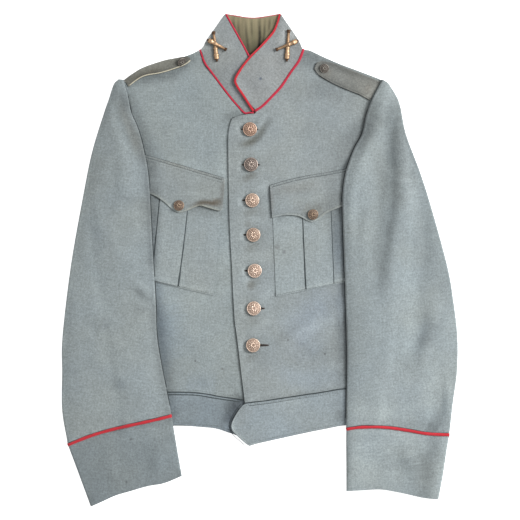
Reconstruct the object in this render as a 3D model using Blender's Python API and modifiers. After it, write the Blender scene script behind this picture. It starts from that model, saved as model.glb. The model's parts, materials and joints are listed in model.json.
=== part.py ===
"""A military uniform jacket of grey-green wool, laid flat with its front up and its sleeves at its sides.

X runs to the wearer's left, Y towards the collar and Z up. Tables are in millimetres. Each piece of cloth
is a sheet between four cut edges, laid on the pieces under it, and then given its thickness.
"""

import math

import bmesh
import bpy
from mathutils import Vector
from mathutils.bvhtree import BVHTree
from mathutils.kdtree import KDTree

MM = 0.001

# Driving dimensions, in millimetres.
CLOTH = 2.2
POCKET_CLOTH = 1.6
REST_GAP = 0.35
SEAM_GAP = 0.6
PIPING_RADIUS = 1.8
UNDER_PIPING_RADIUS = 1.4
PIPING_STEP = 11.0
PIPING_PROUD = 0.35  # of its radius, above the cloth beside it
BODY_PUFF = 1.4
SLEEVE_PUFF = 2.4
PLEAT_RISE = 1.5
FRONT_BUTTON = 22.0
POCKET_BUTTON = 16.5
STRAP_BUTTON = 14.5
BADGE_FLATTENING = 0.6

# How finely edges are followed and heights are felt for, in millimetres.
FEEL_STEP = 1.6
CURVE_STEPS = 12
BUTTON_STEPS = 14
BARREL_STEPS = 10

# Colour (red, green, blue), roughness, metallic.
FINISHES = {
    "wool": ((0.29, 0.33, 0.34), 0.95, 0.0),
    "trim_wool": ((0.27, 0.29, 0.28), 0.95, 0.0),
    "piping": ((0.55, 0.05, 0.06), 0.9, 0.0),
    "lining": ((0.16, 0.13, 0.07), 0.8, 0.0),
    "copper": ((0.48, 0.24, 0.15), 0.4, 1.0),
    "brass": ((0.42, 0.26, 0.13), 0.45, 1.0),
}

# Seam lines of the body. Each row is one point (x, y).
RIGHT_SHOULDER = ((-209, 276), (-183, 291.5), (-152, 303.5), (-107, 318.5), (-92, 325.5))
LEFT_SHOULDER = ((69.5, 326), (79, 324.5), (97.5, 316), (125.5, 304), (153.5, 293.5), (181, 283), (190, 279))
RIGHT_ARMHOLE = (
    (-209, 276), (-202, 253.5), (-197, 228.5), (-197, 204.5), (-205.5, 175), (-222, 140), (-243.5, 106),
)
LEFT_ARMHOLE = ((190, 279), (173, 245.5), (165, 223), (161, 192), (166, 155), (184.5, 121), (221.5, 101))
RIGHT_SIDE = ((-243.5, 106), (-237, 45), (-221.5, -62), (-206, -166), (-200, -204.5))
LEFT_SIDE = ((221.5, 101), (215.5, 43.5), (200, -62), (184.5, -167.5), (178, -195.5))
RIGHT_WAIST = ((-200, -204.5), (-143, -204.5), (-97.5, -205.5), (-62.5, -211), (-22.5, -216.5), (26.5, -223))
LEFT_WAIST = ((-22, -221.5), (11.5, -217.5), (54.5, -211), (98.5, -204.5), (135.5, -199), (178, -195.5))
BACK_WAIST = ((-200, -204.5), (-100, -206.5), (-10, -207), (90, -203), (178, -195.5))
BACK_HEM = ((-195.5, -256), (-100, -258), (-15, -262), (90, -259), (176.5, -254))
BACK_NECK = ((-88, 326), (-60, 309), (-10, 302), (40, 309), (68.5, 326))

# The front edges. The left front laps over the right one.
LEFT_FRONT_EDGE = (
    (-22, -221.5), (-34, -121), (-38, -88), (-42, -9.5), (-45.5, 62), (-46.8, 127),
    (-47.5, 186), (-45.5, 207), (-41.5, 219.5),
)
LEFT_FRONT_TOP = ((-41.5, 219.5), (-31, 223.8), (-16, 226), (-6, 226.6))
RIGHT_FRONT_EDGE = ((26.5, -223), (26.5, -62), (21.5, 93), (18.5, 217))

# The waistband, whose left half ends in a pointed tab.
RIGHT_HEM = (
    (-195.5, -256), (-133.5, -255.5), (-97.5, -258), (-67, -261), (-45.5, -267.5), (-32, -274), (-15.5, -285),
)
RIGHT_BAND_END = ((-15.5, -285), (-1.5, -269.5), (4.5, -256), (0, -234), (-8, -220))
LEFT_HEM = ((-15, -288), (5, -282.5), (54.5, -272), (98.5, -262.8), (134, -256.5), (176.5, -254))
LEFT_BAND_TAB = ((-15, -288), (-24, -281.5), (-39, -267), (-43, -258), (-40, -247), (-30, -230.5), (-22, -223))

# The collar, whose left half laps over the right one. The piping follows these lines.
RIGHT_NECK = ((-91.5, 326), (-84, 305.5), (-73.5, 291), (-49, 258), (-24.5, 229.5), (-15.5, 225.5))
LEFT_NECK = ((-5, 231.5), (6, 239), (21.5, 255), (34.5, 269.5), (47.5, 288.5), (62, 309), (69, 327))
RIGHT_COLLAR_EDGE = ((-14.5, 314.5), (-28, 338.5), (-42, 364), (-51.5, 381.5))
RIGHT_COLLAR_LAP = ((12.5, 278), (-1.5, 294.5), (-14.5, 314.5))
RIGHT_COLLAR_END = ((-12, 231), (3, 252.5), (12.5, 278))
LEFT_COLLAR_EDGE = (
    (-10.5, 233.5), (-25, 256), (-34.5, 270.5), (-36.5, 280), (-28, 296), (-13, 314.5),
    (4.5, 332.5), (21.5, 352), (28, 366), (32.5, 381.5),
)
LEFT_COLLAR_CORNER = 3  # the row of LEFT_COLLAR_EDGE at the lapping corner
RIGHT_COLLAR_FOLD = ((-87.5, 327), (-82, 340), (-70, 357), (-53, 381))
LEFT_COLLAR_FOLD = ((67.5, 327), (62.5, 338), (53, 353), (40.5, 371), (34, 381))
BACK_COLLAR_TOP = ((-51.5, 381.8), (-9.5, 376), (32.5, 381.8))

# The sleeves. Each inner edge is the armhole seam down to the fold that lies over the body.
RIGHT_SLEEVE_INNER = (
    (-210, 279), (-202.8, 253.5), (-197.8, 228.5), (-187, 203), (-177.5, 167.5), (-170.5, 127),
    (-166, 43.5), (-160, -62), (-158, -116), (-150.5, -164.5), (-135.2, -241),
)
RIGHT_SLEEVE_OUTER = (
    (-218, 280), (-225.5, 271.5), (-233.5, 248), (-240.5, 228), (-259, 167.5), (-273.5, 96), (-292, -9.5),
    (-305, -119.5), (-305.5, -173.5), (-305.5, -232.5), (-296.5, -287),
)
RIGHT_CUFF_SEAM = (
    (-296.5, -287), (-271.3, -276.5), (-248.5, -268.6), (-214.4, -259.5), (-153, -245.5), (-135.2, -241),
)
RIGHT_CUFF_OUTER = ((-296.5, -287), (-285, -317.5), (-261, -382.5))
RIGHT_CUFF_INNER = ((-135.2, -241), (-127, -292.5), (-119.5, -335))
RIGHT_CUFF_HEM = (
    (-261, -382.5), (-246, -376), (-222, -365), (-200, -358.5), (-172, -350.5), (-147, -346), (-119.5, -335),
)
LEFT_SLEEVE_INNER = (
    (191, 279.5), (173.8, 245.5), (165.8, 223), (159.5, 195.5), (147, 172), (135, 139.5), (130, 111.5),
    (129, 83.5), (132, -9.5), (135.5, -116), (136, -164.5), (135, -262),
)
LEFT_SLEEVE_OUTER = (
    (201.5, 273), (216, 245), (226, 195.5), (249, 138), (266.5, 85), (291.5, -8),
    (300, -62), (306.5, -118), (306, -172), (300.5, -221.5), (295.5, -271),
)
LEFT_CUFF_SEAM = ((135, -262), (162.8, -258.4), (196.9, -259.5), (231, -264.1), (265, -269.7), (295.5, -271))
LEFT_CUFF_INNER = ((135, -262), (135.5, -326.5), (135.5, -358.5))
LEFT_CUFF_OUTER = ((295.5, -271), (291.5, -294.5), (285.5, -333.5), (278.5, -371.5))
LEFT_CUFF_HEM = ((135.5, -358.5), (163, -357), (190, -356), (222, -361.5), (253.5, -368.5), (278.5, -371.5))

# The longest soft folds. Columns: start (x, y), end (x, y), half width, height.
LEFT_SLEEVE_FOLDS = (
    ((228, 205), (234, -30), 16, 1.0),
    ((186, 150), (182, -80), 22, 0.8),
)
RIGHT_SLEEVE_FOLDS = (
    ((-250, 140), (-272, -70), 20, 0.9),
    ((-196, 110), (-190, -60), 18, 0.7),
)

# The chest pockets. A pleat runs between two shares of the pocket's width.
POCKETS = {
    "right": {
        "bottom": ((-217, -21.7), (-159.7, -34.6), (-92, -50.5), (-70.7, -55)),
        "top": ((-202.5, 125), (-56.5, 101)),
        "pleat": (0.35, 0.645),
    },
    "left": {
        "bottom": ((26, -57), (72.4, -47.1), (116.9, -38.1), (159.5, -29.5)),
        "top": ((20, 100), (153.5, 128)),
        "pleat": (0.347, 0.67),
    },
}
FLAPS = {
    "right": {
        "top": ((-203, 169.5), (-168.5, 160.5), (-124, 147.5), (-74, 132.5), (-52, 126)),
        "bottom": (
            (-203, 114), (-166.5, 101.5), (-150.5, 92.5), (-134.5, 79), (-125, 73.5), (-113.5, 75.5),
            (-95.5, 83), (-85, 83), (-62, 76.5), (-56.5, 78.5),
        ),
    },
    "left": {
        "top": ((16.5, 115), (45, 123.5), (75, 130), (110.5, 136), (153.5, 144.5)),
        "bottom": (
            (20, 65), (30.5, 67.5), (46.5, 69.5), (62.5, 67.5), (74, 61.5), (83.5, 58.5), (96.5, 66),
            (107, 74), (128.5, 83), (153.5, 90.5),
        ),
    },
}
STRAPS = {
    "right": {
        "top": ((-208.5, 278.5), (-183, 295), (-152, 306.5), (-133.5, 311), (-116, 314.5), (-107.5, 313.5)),
        "bottom": (
            (-202.5, 269.5), (-180.5, 284.5), (-154.5, 290), (-131.5, 296.5), (-113.5, 304), (-106.5, 309.5),
        ),
    },
    "left": {
        "top": ((89, 305.5), (97.5, 307.5), (116, 304.5), (141, 295), (166, 285), (188.5, 276)),
        "bottom": ((85.5, 296), (94.5, 286), (116, 273.5), (137, 264), (156, 256.5), (172, 247.5)),
    },
}

# Columns: name, x, y, diameter.
BUTTONS = (
    ("front_button_1", -14, 202.5, FRONT_BUTTON),
    ("front_button_2", -12.5, 147.5, FRONT_BUTTON),
    ("front_button_3", -10.5, 92.5, FRONT_BUTTON),
    ("front_button_4", -8.5, 39, FRONT_BUTTON),
    ("front_button_5", -6.5, -16.5, FRONT_BUTTON),
    ("front_button_6", -8, -75, FRONT_BUTTON),
    ("front_button_7", -9.5, -132, FRONT_BUTTON),
    ("right_pocket_button", -124, 84, POCKET_BUTTON),
    ("left_pocket_button", 83.5, 70.5, POCKET_BUTTON),
    ("right_strap_button", -120, 307, STRAP_BUTTON),
    ("left_strap_button", 101, 297, STRAP_BUTTON),
)
# A button's turned outline: shares of its radius, and of its radius again for the height.
BUTTON_PROFILE = (
    (0.0, 0.56), (0.5, 0.51), (0.86, 0.36), (1.0, 0.26), (0.96, 0.14), (0.3, 0.12), (0.28, 0.0), (0.0, 0.0),
)

# Each badge is two gun barrels that cross. Columns: breech (x, y) and muzzle (x, y).
BADGES = {
    "right": (((-65, 307), (-70.5, 354)), ((-80.5, 341.5), (-50, 325))),
    "left": (((43, 307), (46, 356.5)), ((61.5, 340), (26, 325))),
}
# A barrel's turned outline from the muzzle down. Columns: share of the length, radius.
BARREL_PROFILE = (
    (1.0, 0.0), (1.0, 2.5), (0.93, 2.4), (0.9, 1.9), (0.5, 2.4),
    (0.3, 2.9), (0.12, 3.3), (0.05, 1.6), (0.0, 0.0),
)


def finish(name):
    """The material of one of the finishes."""
    found = bpy.data.materials.get(name)
    if found:
        return found
    color, roughness, metallic = FINISHES[name]
    material = bpy.data.materials.new(name)
    material.use_nodes = True
    shader = material.node_tree.nodes["Principled BSDF"]
    shader.inputs["Base Color"].default_value = (*color, 1.0)
    shader.inputs["Roughness"].default_value = roughness
    shader.inputs["Metallic"].default_value = metallic
    material.diffuse_color = (*color, 1.0)
    return material


def lengths(points):
    """How far along a chain each of its points is."""
    reached = [0.0]
    for start, end in zip(points, points[1:]):
        reached.append(reached[-1] + (end - start).length)
    return reached


def along(points, share):
    """The point at this share of a chain's length."""
    reached = lengths(points)
    wanted = share * reached[-1]
    for index, (low, high) in enumerate(zip(reached, reached[1:])):
        if wanted <= high:
            part = (wanted - low) / (high - low)
            return points[index].lerp(points[index + 1], part)
    return points[-1]


def smooth(rows):
    """A fine chain of points on the Catmull-Rom curve through the rows of a table."""
    knots = [Vector(row) for row in rows]
    knots = [2 * knots[0] - knots[1], *knots, 2 * knots[-1] - knots[-2]]
    chain = []
    for before, start, end, after in zip(knots, knots[1:], knots[2:], knots[3:]):
        for step in range(CURVE_STEPS):
            t = step / CURVE_STEPS
            bend = (2 * before - 5 * start + 4 * end - after) * t * t
            twist = (3 * start - before - 3 * end + after) * t * t * t
            chain.append(start + 0.5 * ((end - before) * t + bend + twist))
    return [*chain, knots[-2]]


def beside(rows, distance):
    """The smooth chain of a table, moved this far to the left of its own direction."""
    chain = smooth(rows)
    moved = []
    for index, point in enumerate(chain):
        ahead = chain[min(index + 1, len(chain) - 1)] - chain[max(index - 1, 0)]
        side = Vector((-ahead.y, ahead.x)).normalized()
        moved.append(point + side * distance)
    return moved


def edge(*stretches):
    """A cut edge as a function of 0 to 1. Each stretch is a chain and the count of cells that it spans."""
    cells = sum(count for _, count in stretches)

    def at(share):
        place = share * cells
        for chain, count in stretches:
            if place <= count + 1e-6:
                return along(chain, min(place / count, 1.0))
            place -= count
        return stretches[-1][0][-1]

    return at


def line(*rows):
    """A straight cut edge through these points, as one stretch."""
    return edge(([Vector(row) for row in rows], 1))


def curve(rows):
    """A smooth cut edge through the rows of a table, as one stretch."""
    return edge((smooth(rows), 1))


def patch(left, right, bottom, top):
    """The Coons patch between four edges: left and right run upwards, bottom and top to the right."""

    def at(u, v):
        ruled_across = left(v) * (1 - u) + right(v) * u
        ruled_up = bottom(u) * (1 - v) + top(u) * v
        corners_low = bottom(0) * (1 - u) + bottom(1) * u
        corners_high = top(0) * (1 - u) + top(1) * u
        return ruled_across + ruled_up - corners_low * (1 - v) - corners_high * v

    return at


class Heap:
    """All that is laid so far, as the next piece feels it from above."""

    def __init__(self, pieces):
        depsgraph = bpy.context.evaluated_depsgraph_get()
        points, faces = [], []
        for piece in pieces:
            solid = piece.evaluated_get(depsgraph)
            mesh = solid.to_mesh()
            first = len(points)
            points.extend(piece.matrix_world @ vertex.co for vertex in mesh.vertices)
            faces.extend([first + index for index in face.vertices] for face in mesh.polygons)
            solid.to_mesh_clear()
        self.points = points
        self.tree = BVHTree.FromPolygons(points, faces) if faces else None
        self.near = KDTree(len(points))
        for index, point in enumerate(points):
            self.near.insert((point.x, point.y, 0.0), index)
        self.near.balance()

    def top(self, x, y):
        """The height a piece must keep at one place: 0 on the bare ground."""
        if not self.tree:
            return 0.0
        hit = self.tree.ray_cast(Vector((x, y, 1.0)), Vector((0.0, 0.0, -1.0)))[0]
        return hit.z + REST_GAP * MM if hit else 0.0

    def top_on_way(self, start, end):
        """The most that is needed on the straight way between two places."""
        steps = max(2, math.ceil((end - start).length / (FEEL_STEP * MM)))
        places = (start.lerp(end, step / steps) for step in range(steps + 1))
        return max(self.top(place.x, place.y) for place in places)

    def top_in_face(self, corners):
        """The most that is needed anywhere under a face: under its sides, and at corners of what is below."""
        flat = [Vector((corner.x, corner.y)) for corner in corners]
        sides = list(zip(flat, flat[1:] + flat[:1]))
        need = max(self.top_on_way(start, end) for start, end in sides)
        middle = sum(flat, Vector((0.0, 0.0))) / len(flat)
        reach = max((corner - middle).length for corner in flat)
        for place, index, _ in self.near.find_range((middle.x, middle.y, 0.0), reach):
            spot = place.xy
            if all((end - start).cross(spot - start) >= 0 for start, end in sides):
                need = max(need, self.points[index].z + REST_GAP * MM)
        return need


def fold_height(spot, folds):
    """How much the soft folds lift the cloth at a place, in millimetres."""
    lift = 0.0
    for start, end, half_width, height in folds:
        first, last = Vector(start), Vector(end)
        run = last - first
        share = max(0.0, min(1.0, (spot - first).dot(run) / run.length_squared))
        aside = (spot - first - run * share).length / half_width
        if aside < 1:
            lift += height * (1 - aside * aside) ** 2
    return lift


def bump(share):
    """0 at both edges and close to 1 over the middle."""
    return 1 - (2 * share - 1) ** 4


class Jacket:
    """The collection of pieces, in the order in which they are laid."""

    def __init__(self, name):
        self.collection = bpy.data.collections.new(name)
        bpy.context.scene.collection.children.link(self.collection)
        self.pieces = []

    def add(self, name, data, finish_name):
        data.materials.append(finish(finish_name))
        piece = bpy.data.objects.new(name, data)
        self.collection.objects.link(piece)
        self.pieces.append(piece)
        return piece

    def flat(self, name, stretches, finish_name):
        """A piece that lies on the ground: its outline filled, a cloth's thickness high."""
        data = bpy.data.curves.new(name, "CURVE")
        data.dimensions = "2D"
        data.fill_mode = "BOTH"
        data.extrude = CLOTH * MM / 2
        outline = [cut(step / steps) for cut, steps in stretches for step in range(steps)]
        spline = data.splines.new("POLY")
        spline.points.add(len(outline) - 1)
        for point, place in zip(spline.points, outline):
            point.co = (place.x * MM, place.y * MM, 0.0, 1.0)
        spline.use_cyclic_u = True
        piece = self.add(name, data, finish_name)
        piece.location.z = CLOTH * MM / 2
        return piece

    def sheet(
        self, name, cut, stops, rows, finish_name,
        thickness=CLOTH, puff=0.0, folds=(), pleat=None, sewn_above=None,
    ):
        """A piece laid on the heap: a grid on its cut, at the heights of what is under it, made thick.

        `stops` are the shares of the width where its columns stand, or their count. `sewn_above` is how far
        above its top edge the cloth lies that it is sewn to, and that edge starts at that cloth's height.
        """
        if isinstance(stops, int):
            stops = [step / stops for step in range(stops + 1)]
        heap = Heap(self.pieces)
        form = bmesh.new()
        columns = len(stops) - 1
        bmesh.ops.create_grid(form, x_segments=columns, y_segments=rows, size=0.5)
        shares = {}
        for vertex in form.verts:
            u = stops[round((vertex.co.x + 0.5) * columns)]
            v = vertex.co.y + 0.5
            shares[vertex] = (u, v)
            vertex.co = (*(cut(u, v) * MM), 0.0)
        needs = {face: heap.top_in_face([vertex.co for vertex in face.verts]) for face in form.faces}
        for vertex, (u, v) in shares.items():
            lift = puff * bump(u) * bump(v)
            lift += fold_height(vertex.co.xy / MM, folds) * bump(u)
            if pleat and pleat[0] < u < pleat[1]:
                lift += PLEAT_RISE
            vertex.co.z = max(needs[face] for face in vertex.link_faces) + lift * MM
            if sewn_above and v == 1:
                sewn = heap.top(vertex.co.x, vertex.co.y + sewn_above * MM)
                vertex.co.z = max(vertex.co.z, sewn - (thickness + REST_GAP) * MM)
        data = bpy.data.meshes.new(name)
        form.to_mesh(data)
        form.free()
        data.shade_smooth()
        piece = self.add(name, data, finish_name)
        shell = piece.modifiers.new("Cloth", "SOLIDIFY")
        shell.thickness = thickness * MM
        shell.offset = 1.0
        return piece

    def piping(self, name, rows, radius=PIPING_RADIUS):
        """A piping cord along a seam, between its two cloths and a little proud of them."""
        heap = Heap(self.pieces)
        chain = smooth(rows)
        count = max(4, round(lengths(chain)[-1] / PIPING_STEP))
        route = [along(chain, step / count) * MM for step in range(count + 1)]
        needs, beside_needs = [], []
        for start, end in zip(route, route[1:]):
            ahead = (end - start).normalized()
            side = Vector((-ahead.y, ahead.x)) * MM
            reach = (start - ahead * radius * MM, end + ahead * radius * MM)
            under = [[place + side * radius * way for place in reach] for way in (-1, 0, 1)]
            cloths = [[place + side * (radius + 2) * way for place in reach] for way in (-1, 1)]
            needs.append(max(heap.top_on_way(*way) for way in under))
            beside_needs.append(max(heap.top_on_way(*way) for way in cloths))
        data = bpy.data.curves.new(name, "CURVE")
        data.dimensions = "3D"
        data.bevel_depth = radius * MM
        data.bevel_resolution = 2
        data.use_fill_caps = True
        spline = data.splines.new("POLY")
        spline.points.add(count)
        for index, (point, place) in enumerate(zip(spline.points, route)):
            spans = slice(max(index - 1, 0), index + 1)
            proud = max(beside_needs[spans]) - (1 - PIPING_PROUD) * radius * MM
            height = max(max(needs[spans]) + radius * MM, proud)
            point.co = (place.x, place.y, height, 1.0)
        return self.add(name, data, "piping")

    def turned(self, name, profile, steps, finish_name):
        """A turned solid from its outline, a table of radius and height that runs downwards."""
        data = bpy.data.meshes.new(name)
        points = [(radius * MM, 0.0, height * MM) for radius, height in profile]
        data.from_pydata(points, [(index, index + 1) for index in range(len(points) - 1)], [])
        piece = self.add(name, data, finish_name)
        turn = piece.modifiers.new("Turned", "SCREW")
        turn.steps = steps
        turn.render_steps = steps
        turn.use_merge_vertices = True
        turn.merge_threshold = 0.00001
        return piece

    def button(self, name, x, y, diameter):
        """A domed metal button, resting on the cloth by its shank and rim."""
        radius = diameter / 2
        heap = Heap(self.pieces)
        around = [index * math.tau / 12 for index in range(12)]
        places = [
            (x + share * radius * math.cos(turn), y + share * radius * math.sin(turn))
            for share in (0.0, 0.5, 1.0)
            for turn in around
        ]
        ground = max(heap.top(px * MM, py * MM) for px, py in places)
        outline = [(share * radius, height * radius) for share, height in BUTTON_PROFILE]
        piece = self.turned(name, outline, BUTTON_STEPS, "copper")
        piece.location = (x * MM, y * MM, ground)
        return piece

    def barrel(self, name, breech, muzzle, ground):
        """One gun barrel of a badge, turned, flattened and laid from its breech to its muzzle."""
        start, end = Vector(breech), Vector(muzzle)
        length = (end - start).length
        outline = [(radius, share * length) for share, radius in BARREL_PROFILE]
        piece = self.turned(name, outline, BARREL_STEPS, "brass")
        piece.rotation_euler = (0.0, math.radians(90), math.atan2(end.y - start.y, end.x - start.x))
        piece.scale = (BADGE_FLATTENING, 1.0, 1.0)
        thick = max(radius for _, radius in BARREL_PROFILE) * BADGE_FLATTENING
        piece.location = (start.x * MM, start.y * MM, ground + thick * MM)
        return piece

    def badge(self, name, barrels):
        """Two barrels that cross, joined into one solid."""
        heap = Heap(self.pieces)
        aside = max(radius for _, radius in BARREL_PROFILE)
        ground = 0.0
        for breech, muzzle in barrels:
            start, end = Vector(breech) * MM, Vector(muzzle) * MM
            side = (end - start).orthogonal().normalized() * aside * MM
            ways = [(start + side * way, end + side * way) for way in (-1, 0, 1)]
            ground = max([ground, *(heap.top_on_way(*way) for way in ways)])
        first = self.barrel(name, *barrels[0], ground)
        second = self.barrel(name + "_second_barrel", *barrels[1], ground)
        self.pieces.remove(second)
        self.collection.objects.unlink(second)
        CUTTERS.objects.link(second)
        second.hide_render = True
        second.display_type = "WIRE"
        union = first.modifiers.new("Crossed", "BOOLEAN")
        union.operation = "UNION"
        union.object = second
        return first


def clear_scene():
    for old in list(bpy.data.objects):
        bpy.data.objects.remove(old, do_unlink=True)


def back_pieces(jacket):
    """The flat pieces that lie on the ground: back, back band and back of the collar."""
    neck_below = [place - Vector((0, SEAM_GAP)) for place in smooth(BACK_NECK)]
    waist_below = [place - Vector((0, SEAM_GAP)) for place in smooth(BACK_WAIST)]
    jacket.flat("back", (
        (curve(RIGHT_SIDE[::-1]), 5), (curve(RIGHT_ARMHOLE[::-1]), 9), (curve(RIGHT_SHOULDER), 6),
        (edge((neck_below, 1)), 8), (curve(LEFT_SHOULDER), 6), (curve(LEFT_ARMHOLE), 9),
        (curve(LEFT_SIDE), 5), (curve(BACK_WAIST[::-1]), 7),
    ), "wool")
    jacket.flat("waistband_back", (
        (edge((waist_below, 1)), 7), (line(waist_below[-1], BACK_HEM[-1]), 1),
        (curve(BACK_HEM[::-1]), 7), (line(BACK_HEM[0], waist_below[0]), 1),
    ), "wool")
    jacket.flat("collar_back", (
        (curve(BACK_NECK[::-1]), 8), (curve(RIGHT_COLLAR_FOLD), 5),
        (curve(BACK_COLLAR_TOP), 5), (curve(LEFT_COLLAR_FOLD[::-1]), 5),
    ), "wool")


def collar_lining(jacket):
    """The khaki lining, which shows inside the back of the collar."""
    inset = 1.2
    left = beside(RIGHT_COLLAR_FOLD, -inset)
    right = beside(LEFT_COLLAR_FOLD, inset)
    low = [place + Vector((0, inset)) for place in smooth(BACK_NECK)]
    top = [place - Vector((0, 0.6)) for place in smooth(BACK_COLLAR_TOP)]
    left[0], right[0] = low[0].lerp(low[-1], 0.02), low[-1].lerp(low[0], 0.02)
    low = [left[0], *low[4:-4], right[0]]
    top = [left[-1], *top[1:-1], right[-1]]
    cut = patch(edge((left, 1)), edge((right, 1)), edge((low, 1)), edge((top, 1)))
    jacket.sheet("collar_lining", cut, 8, 4, "lining", thickness=POCKET_CLOTH)


def fronts(jacket):
    """The two fronts and the bands below them. The left ones lap over the right ones."""
    slot = PIPING_RADIUS + SEAM_GAP
    right_neck = beside(RIGHT_NECK, -slot)
    right_shoulder = [*smooth(RIGHT_SHOULDER)[:-1], right_neck[0]]
    lap = [right_neck[-1], Vector(RIGHT_FRONT_EDGE[-1])]
    cut = patch(
        edge((smooth(RIGHT_SIDE[::-1]), 10), (smooth(RIGHT_ARMHOLE[::-1]), 6)),
        curve(RIGHT_FRONT_EDGE),
        curve(RIGHT_WAIST),
        edge((right_shoulder, 4), (right_neck, 5), (lap, 1)),
    )
    jacket.sheet("right_front", cut, 10, 16, "wool", puff=BODY_PUFF)
    waist_below = [place - Vector((0, SEAM_GAP)) for place in smooth(RIGHT_WAIST)]
    last = next(index for index, place in enumerate(waist_below) if place.x > RIGHT_BAND_END[-1][0])
    band_end = [*smooth(RIGHT_BAND_END)[:-1], waist_below[last]]
    cut = patch(
        line(RIGHT_HEM[0], waist_below[0]), edge((band_end, 1)),
        curve(RIGHT_HEM), edge((waist_below[: last + 1], 1)),
    )
    jacket.sheet("waistband_right", cut, 12, 3, "wool")
    left_neck = beside(LEFT_NECK, -slot)
    left_shoulder = [left_neck[-1], *smooth(LEFT_SHOULDER)[1:]]
    top_lap = [*smooth(LEFT_FRONT_TOP)[:-1], left_neck[0]]
    cut = patch(
        curve(LEFT_FRONT_EDGE),
        edge((smooth(LEFT_SIDE[::-1]), 10), (smooth(LEFT_ARMHOLE[::-1]), 6)),
        curve(LEFT_WAIST),
        edge((top_lap, 2), (left_neck, 5), (left_shoulder, 4)),
    )
    jacket.sheet("left_front", cut, 11, 16, "wool", puff=BODY_PUFF)
    waist_below = [place - Vector((0, SEAM_GAP)) for place in smooth(LEFT_WAIST)]
    tab = [*smooth(LEFT_BAND_TAB)[:-1], waist_below[0]]
    cut = patch(
        edge((tab, 1)), line(LEFT_HEM[-1], waist_below[-1]),
        curve(LEFT_HEM), edge((waist_below, 1)),
    )
    jacket.sheet("waistband_left", cut, 12, 4, "wool")


def collar(jacket):
    """The piping of the neck seam, and the two halves of the collar with the piping on their edges."""
    slot = PIPING_RADIUS + SEAM_GAP
    jacket.piping("right_neck_piping", RIGHT_NECK[:-1])
    jacket.piping("left_neck_piping", LEFT_NECK)
    neck = beside(RIGHT_NECK, slot)
    upper = beside([*RIGHT_COLLAR_LAP, *RIGHT_COLLAR_EDGE[1:]], slot)[::-1]
    end = [neck[-1], *smooth(RIGHT_COLLAR_END)[1:-1], upper[-1]]
    fold = [neck[0], *smooth(RIGHT_COLLAR_FOLD)[4:-6], upper[0]]
    cut = patch(edge((fold, 1)), edge((end, 1)), edge((neck, 1)), edge((upper, 1)))
    jacket.sheet("collar_right", cut, 9, 4, "wool")
    jacket.piping("collar_right_piping", RIGHT_COLLAR_EDGE)
    neck = beside(LEFT_NECK, slot)
    outline = beside(LEFT_COLLAR_EDGE, -slot)
    corner = LEFT_COLLAR_CORNER * CURVE_STEPS
    front = [neck[0], *outline[CURVE_STEPS // 3 : corner + 1]]
    upper = outline[corner:]
    fold = [neck[-1], *smooth(LEFT_COLLAR_FOLD)[4:-6], upper[-1]]
    cut = patch(edge((front, 1)), edge((fold, 1)), edge((neck, 1)), edge((upper, 1)))
    jacket.sheet("collar_left", cut, 10, 4, "wool")
    jacket.piping("collar_left_piping", LEFT_COLLAR_EDGE)


def pockets(jacket, side):
    """A patch pocket with its box pleat, and the scalloped flap above it."""
    pocket = POCKETS[side]
    low, high = pocket["pleat"]
    ease = 0.03
    stops = (0, low / 2, low, low + ease, (low + high) / 2, high - ease, high, (1 + high) / 2, 1)
    cut = patch(
        line(pocket["bottom"][0], pocket["top"][0]), line(pocket["bottom"][-1], pocket["top"][-1]),
        curve(pocket["bottom"]), line(*pocket["top"]),
    )
    jacket.sheet(side + "_pocket", cut, stops, 7, "wool", POCKET_CLOTH, pleat=pocket["pleat"])
    flap = FLAPS[side]
    cut = patch(
        line(flap["bottom"][0], flap["top"][0]), line(flap["bottom"][-1], flap["top"][-1]),
        curve(flap["bottom"]), curve(flap["top"]),
    )
    jacket.sheet(side + "_pocket_flap", cut, 14, 3, "trim_wool", POCKET_CLOTH)


def sleeve(jacket, side, layer, cuts, folds=(), puff=0.0, radius=PIPING_RADIUS):
    """One layer of a sleeve: the sleeve, its cuff and the piping between them."""
    slot = radius + SEAM_GAP
    ways = (cuts["low_x"], cuts["high_x"])
    seam_above = beside(cuts["seam"], slot)
    seam_below = beside(cuts["seam"], -slot)
    sides = [trimmed(smooth(rows)[::-1], end) for rows, end in zip(ways, (seam_above[0], seam_above[-1]))]
    shoulder = [sides[0][-1], sides[1][-1]]
    cut = patch(edge((sides[0], 1)), edge((sides[1], 1)), edge((seam_above, 1)), edge((shoulder, 1)))
    jacket.sheet(f"{side}_{layer}_sleeve", cut, 6, 18, "wool", puff=puff, folds=folds)
    cuff_sides = [
        [*smooth(rows)[::-1][: -CURVE_STEPS // 4], end]
        for rows, end in zip((cuts["cuff_low_x"], cuts["cuff_high_x"]), (seam_below[0], seam_below[-1]))
    ]
    cut = patch(edge((cuff_sides[0], 1)), edge((cuff_sides[1], 1)), curve(cuts["hem"]), edge((seam_below, 1)))
    jacket.sheet(f"{side}_{layer}_cuff", cut, 6, 4, "wool", puff=puff / 2, sewn_above=3 * slot)
    jacket.piping(f"{side}_{layer}_cuff_piping", cuts["seam"], radius)


def trimmed(chain, start):
    """A sleeve's side from its lower end up, begun at a point on the seam instead."""
    kept = [place for place in chain if place.y > start.y + 4]
    return [start, *kept]


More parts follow.
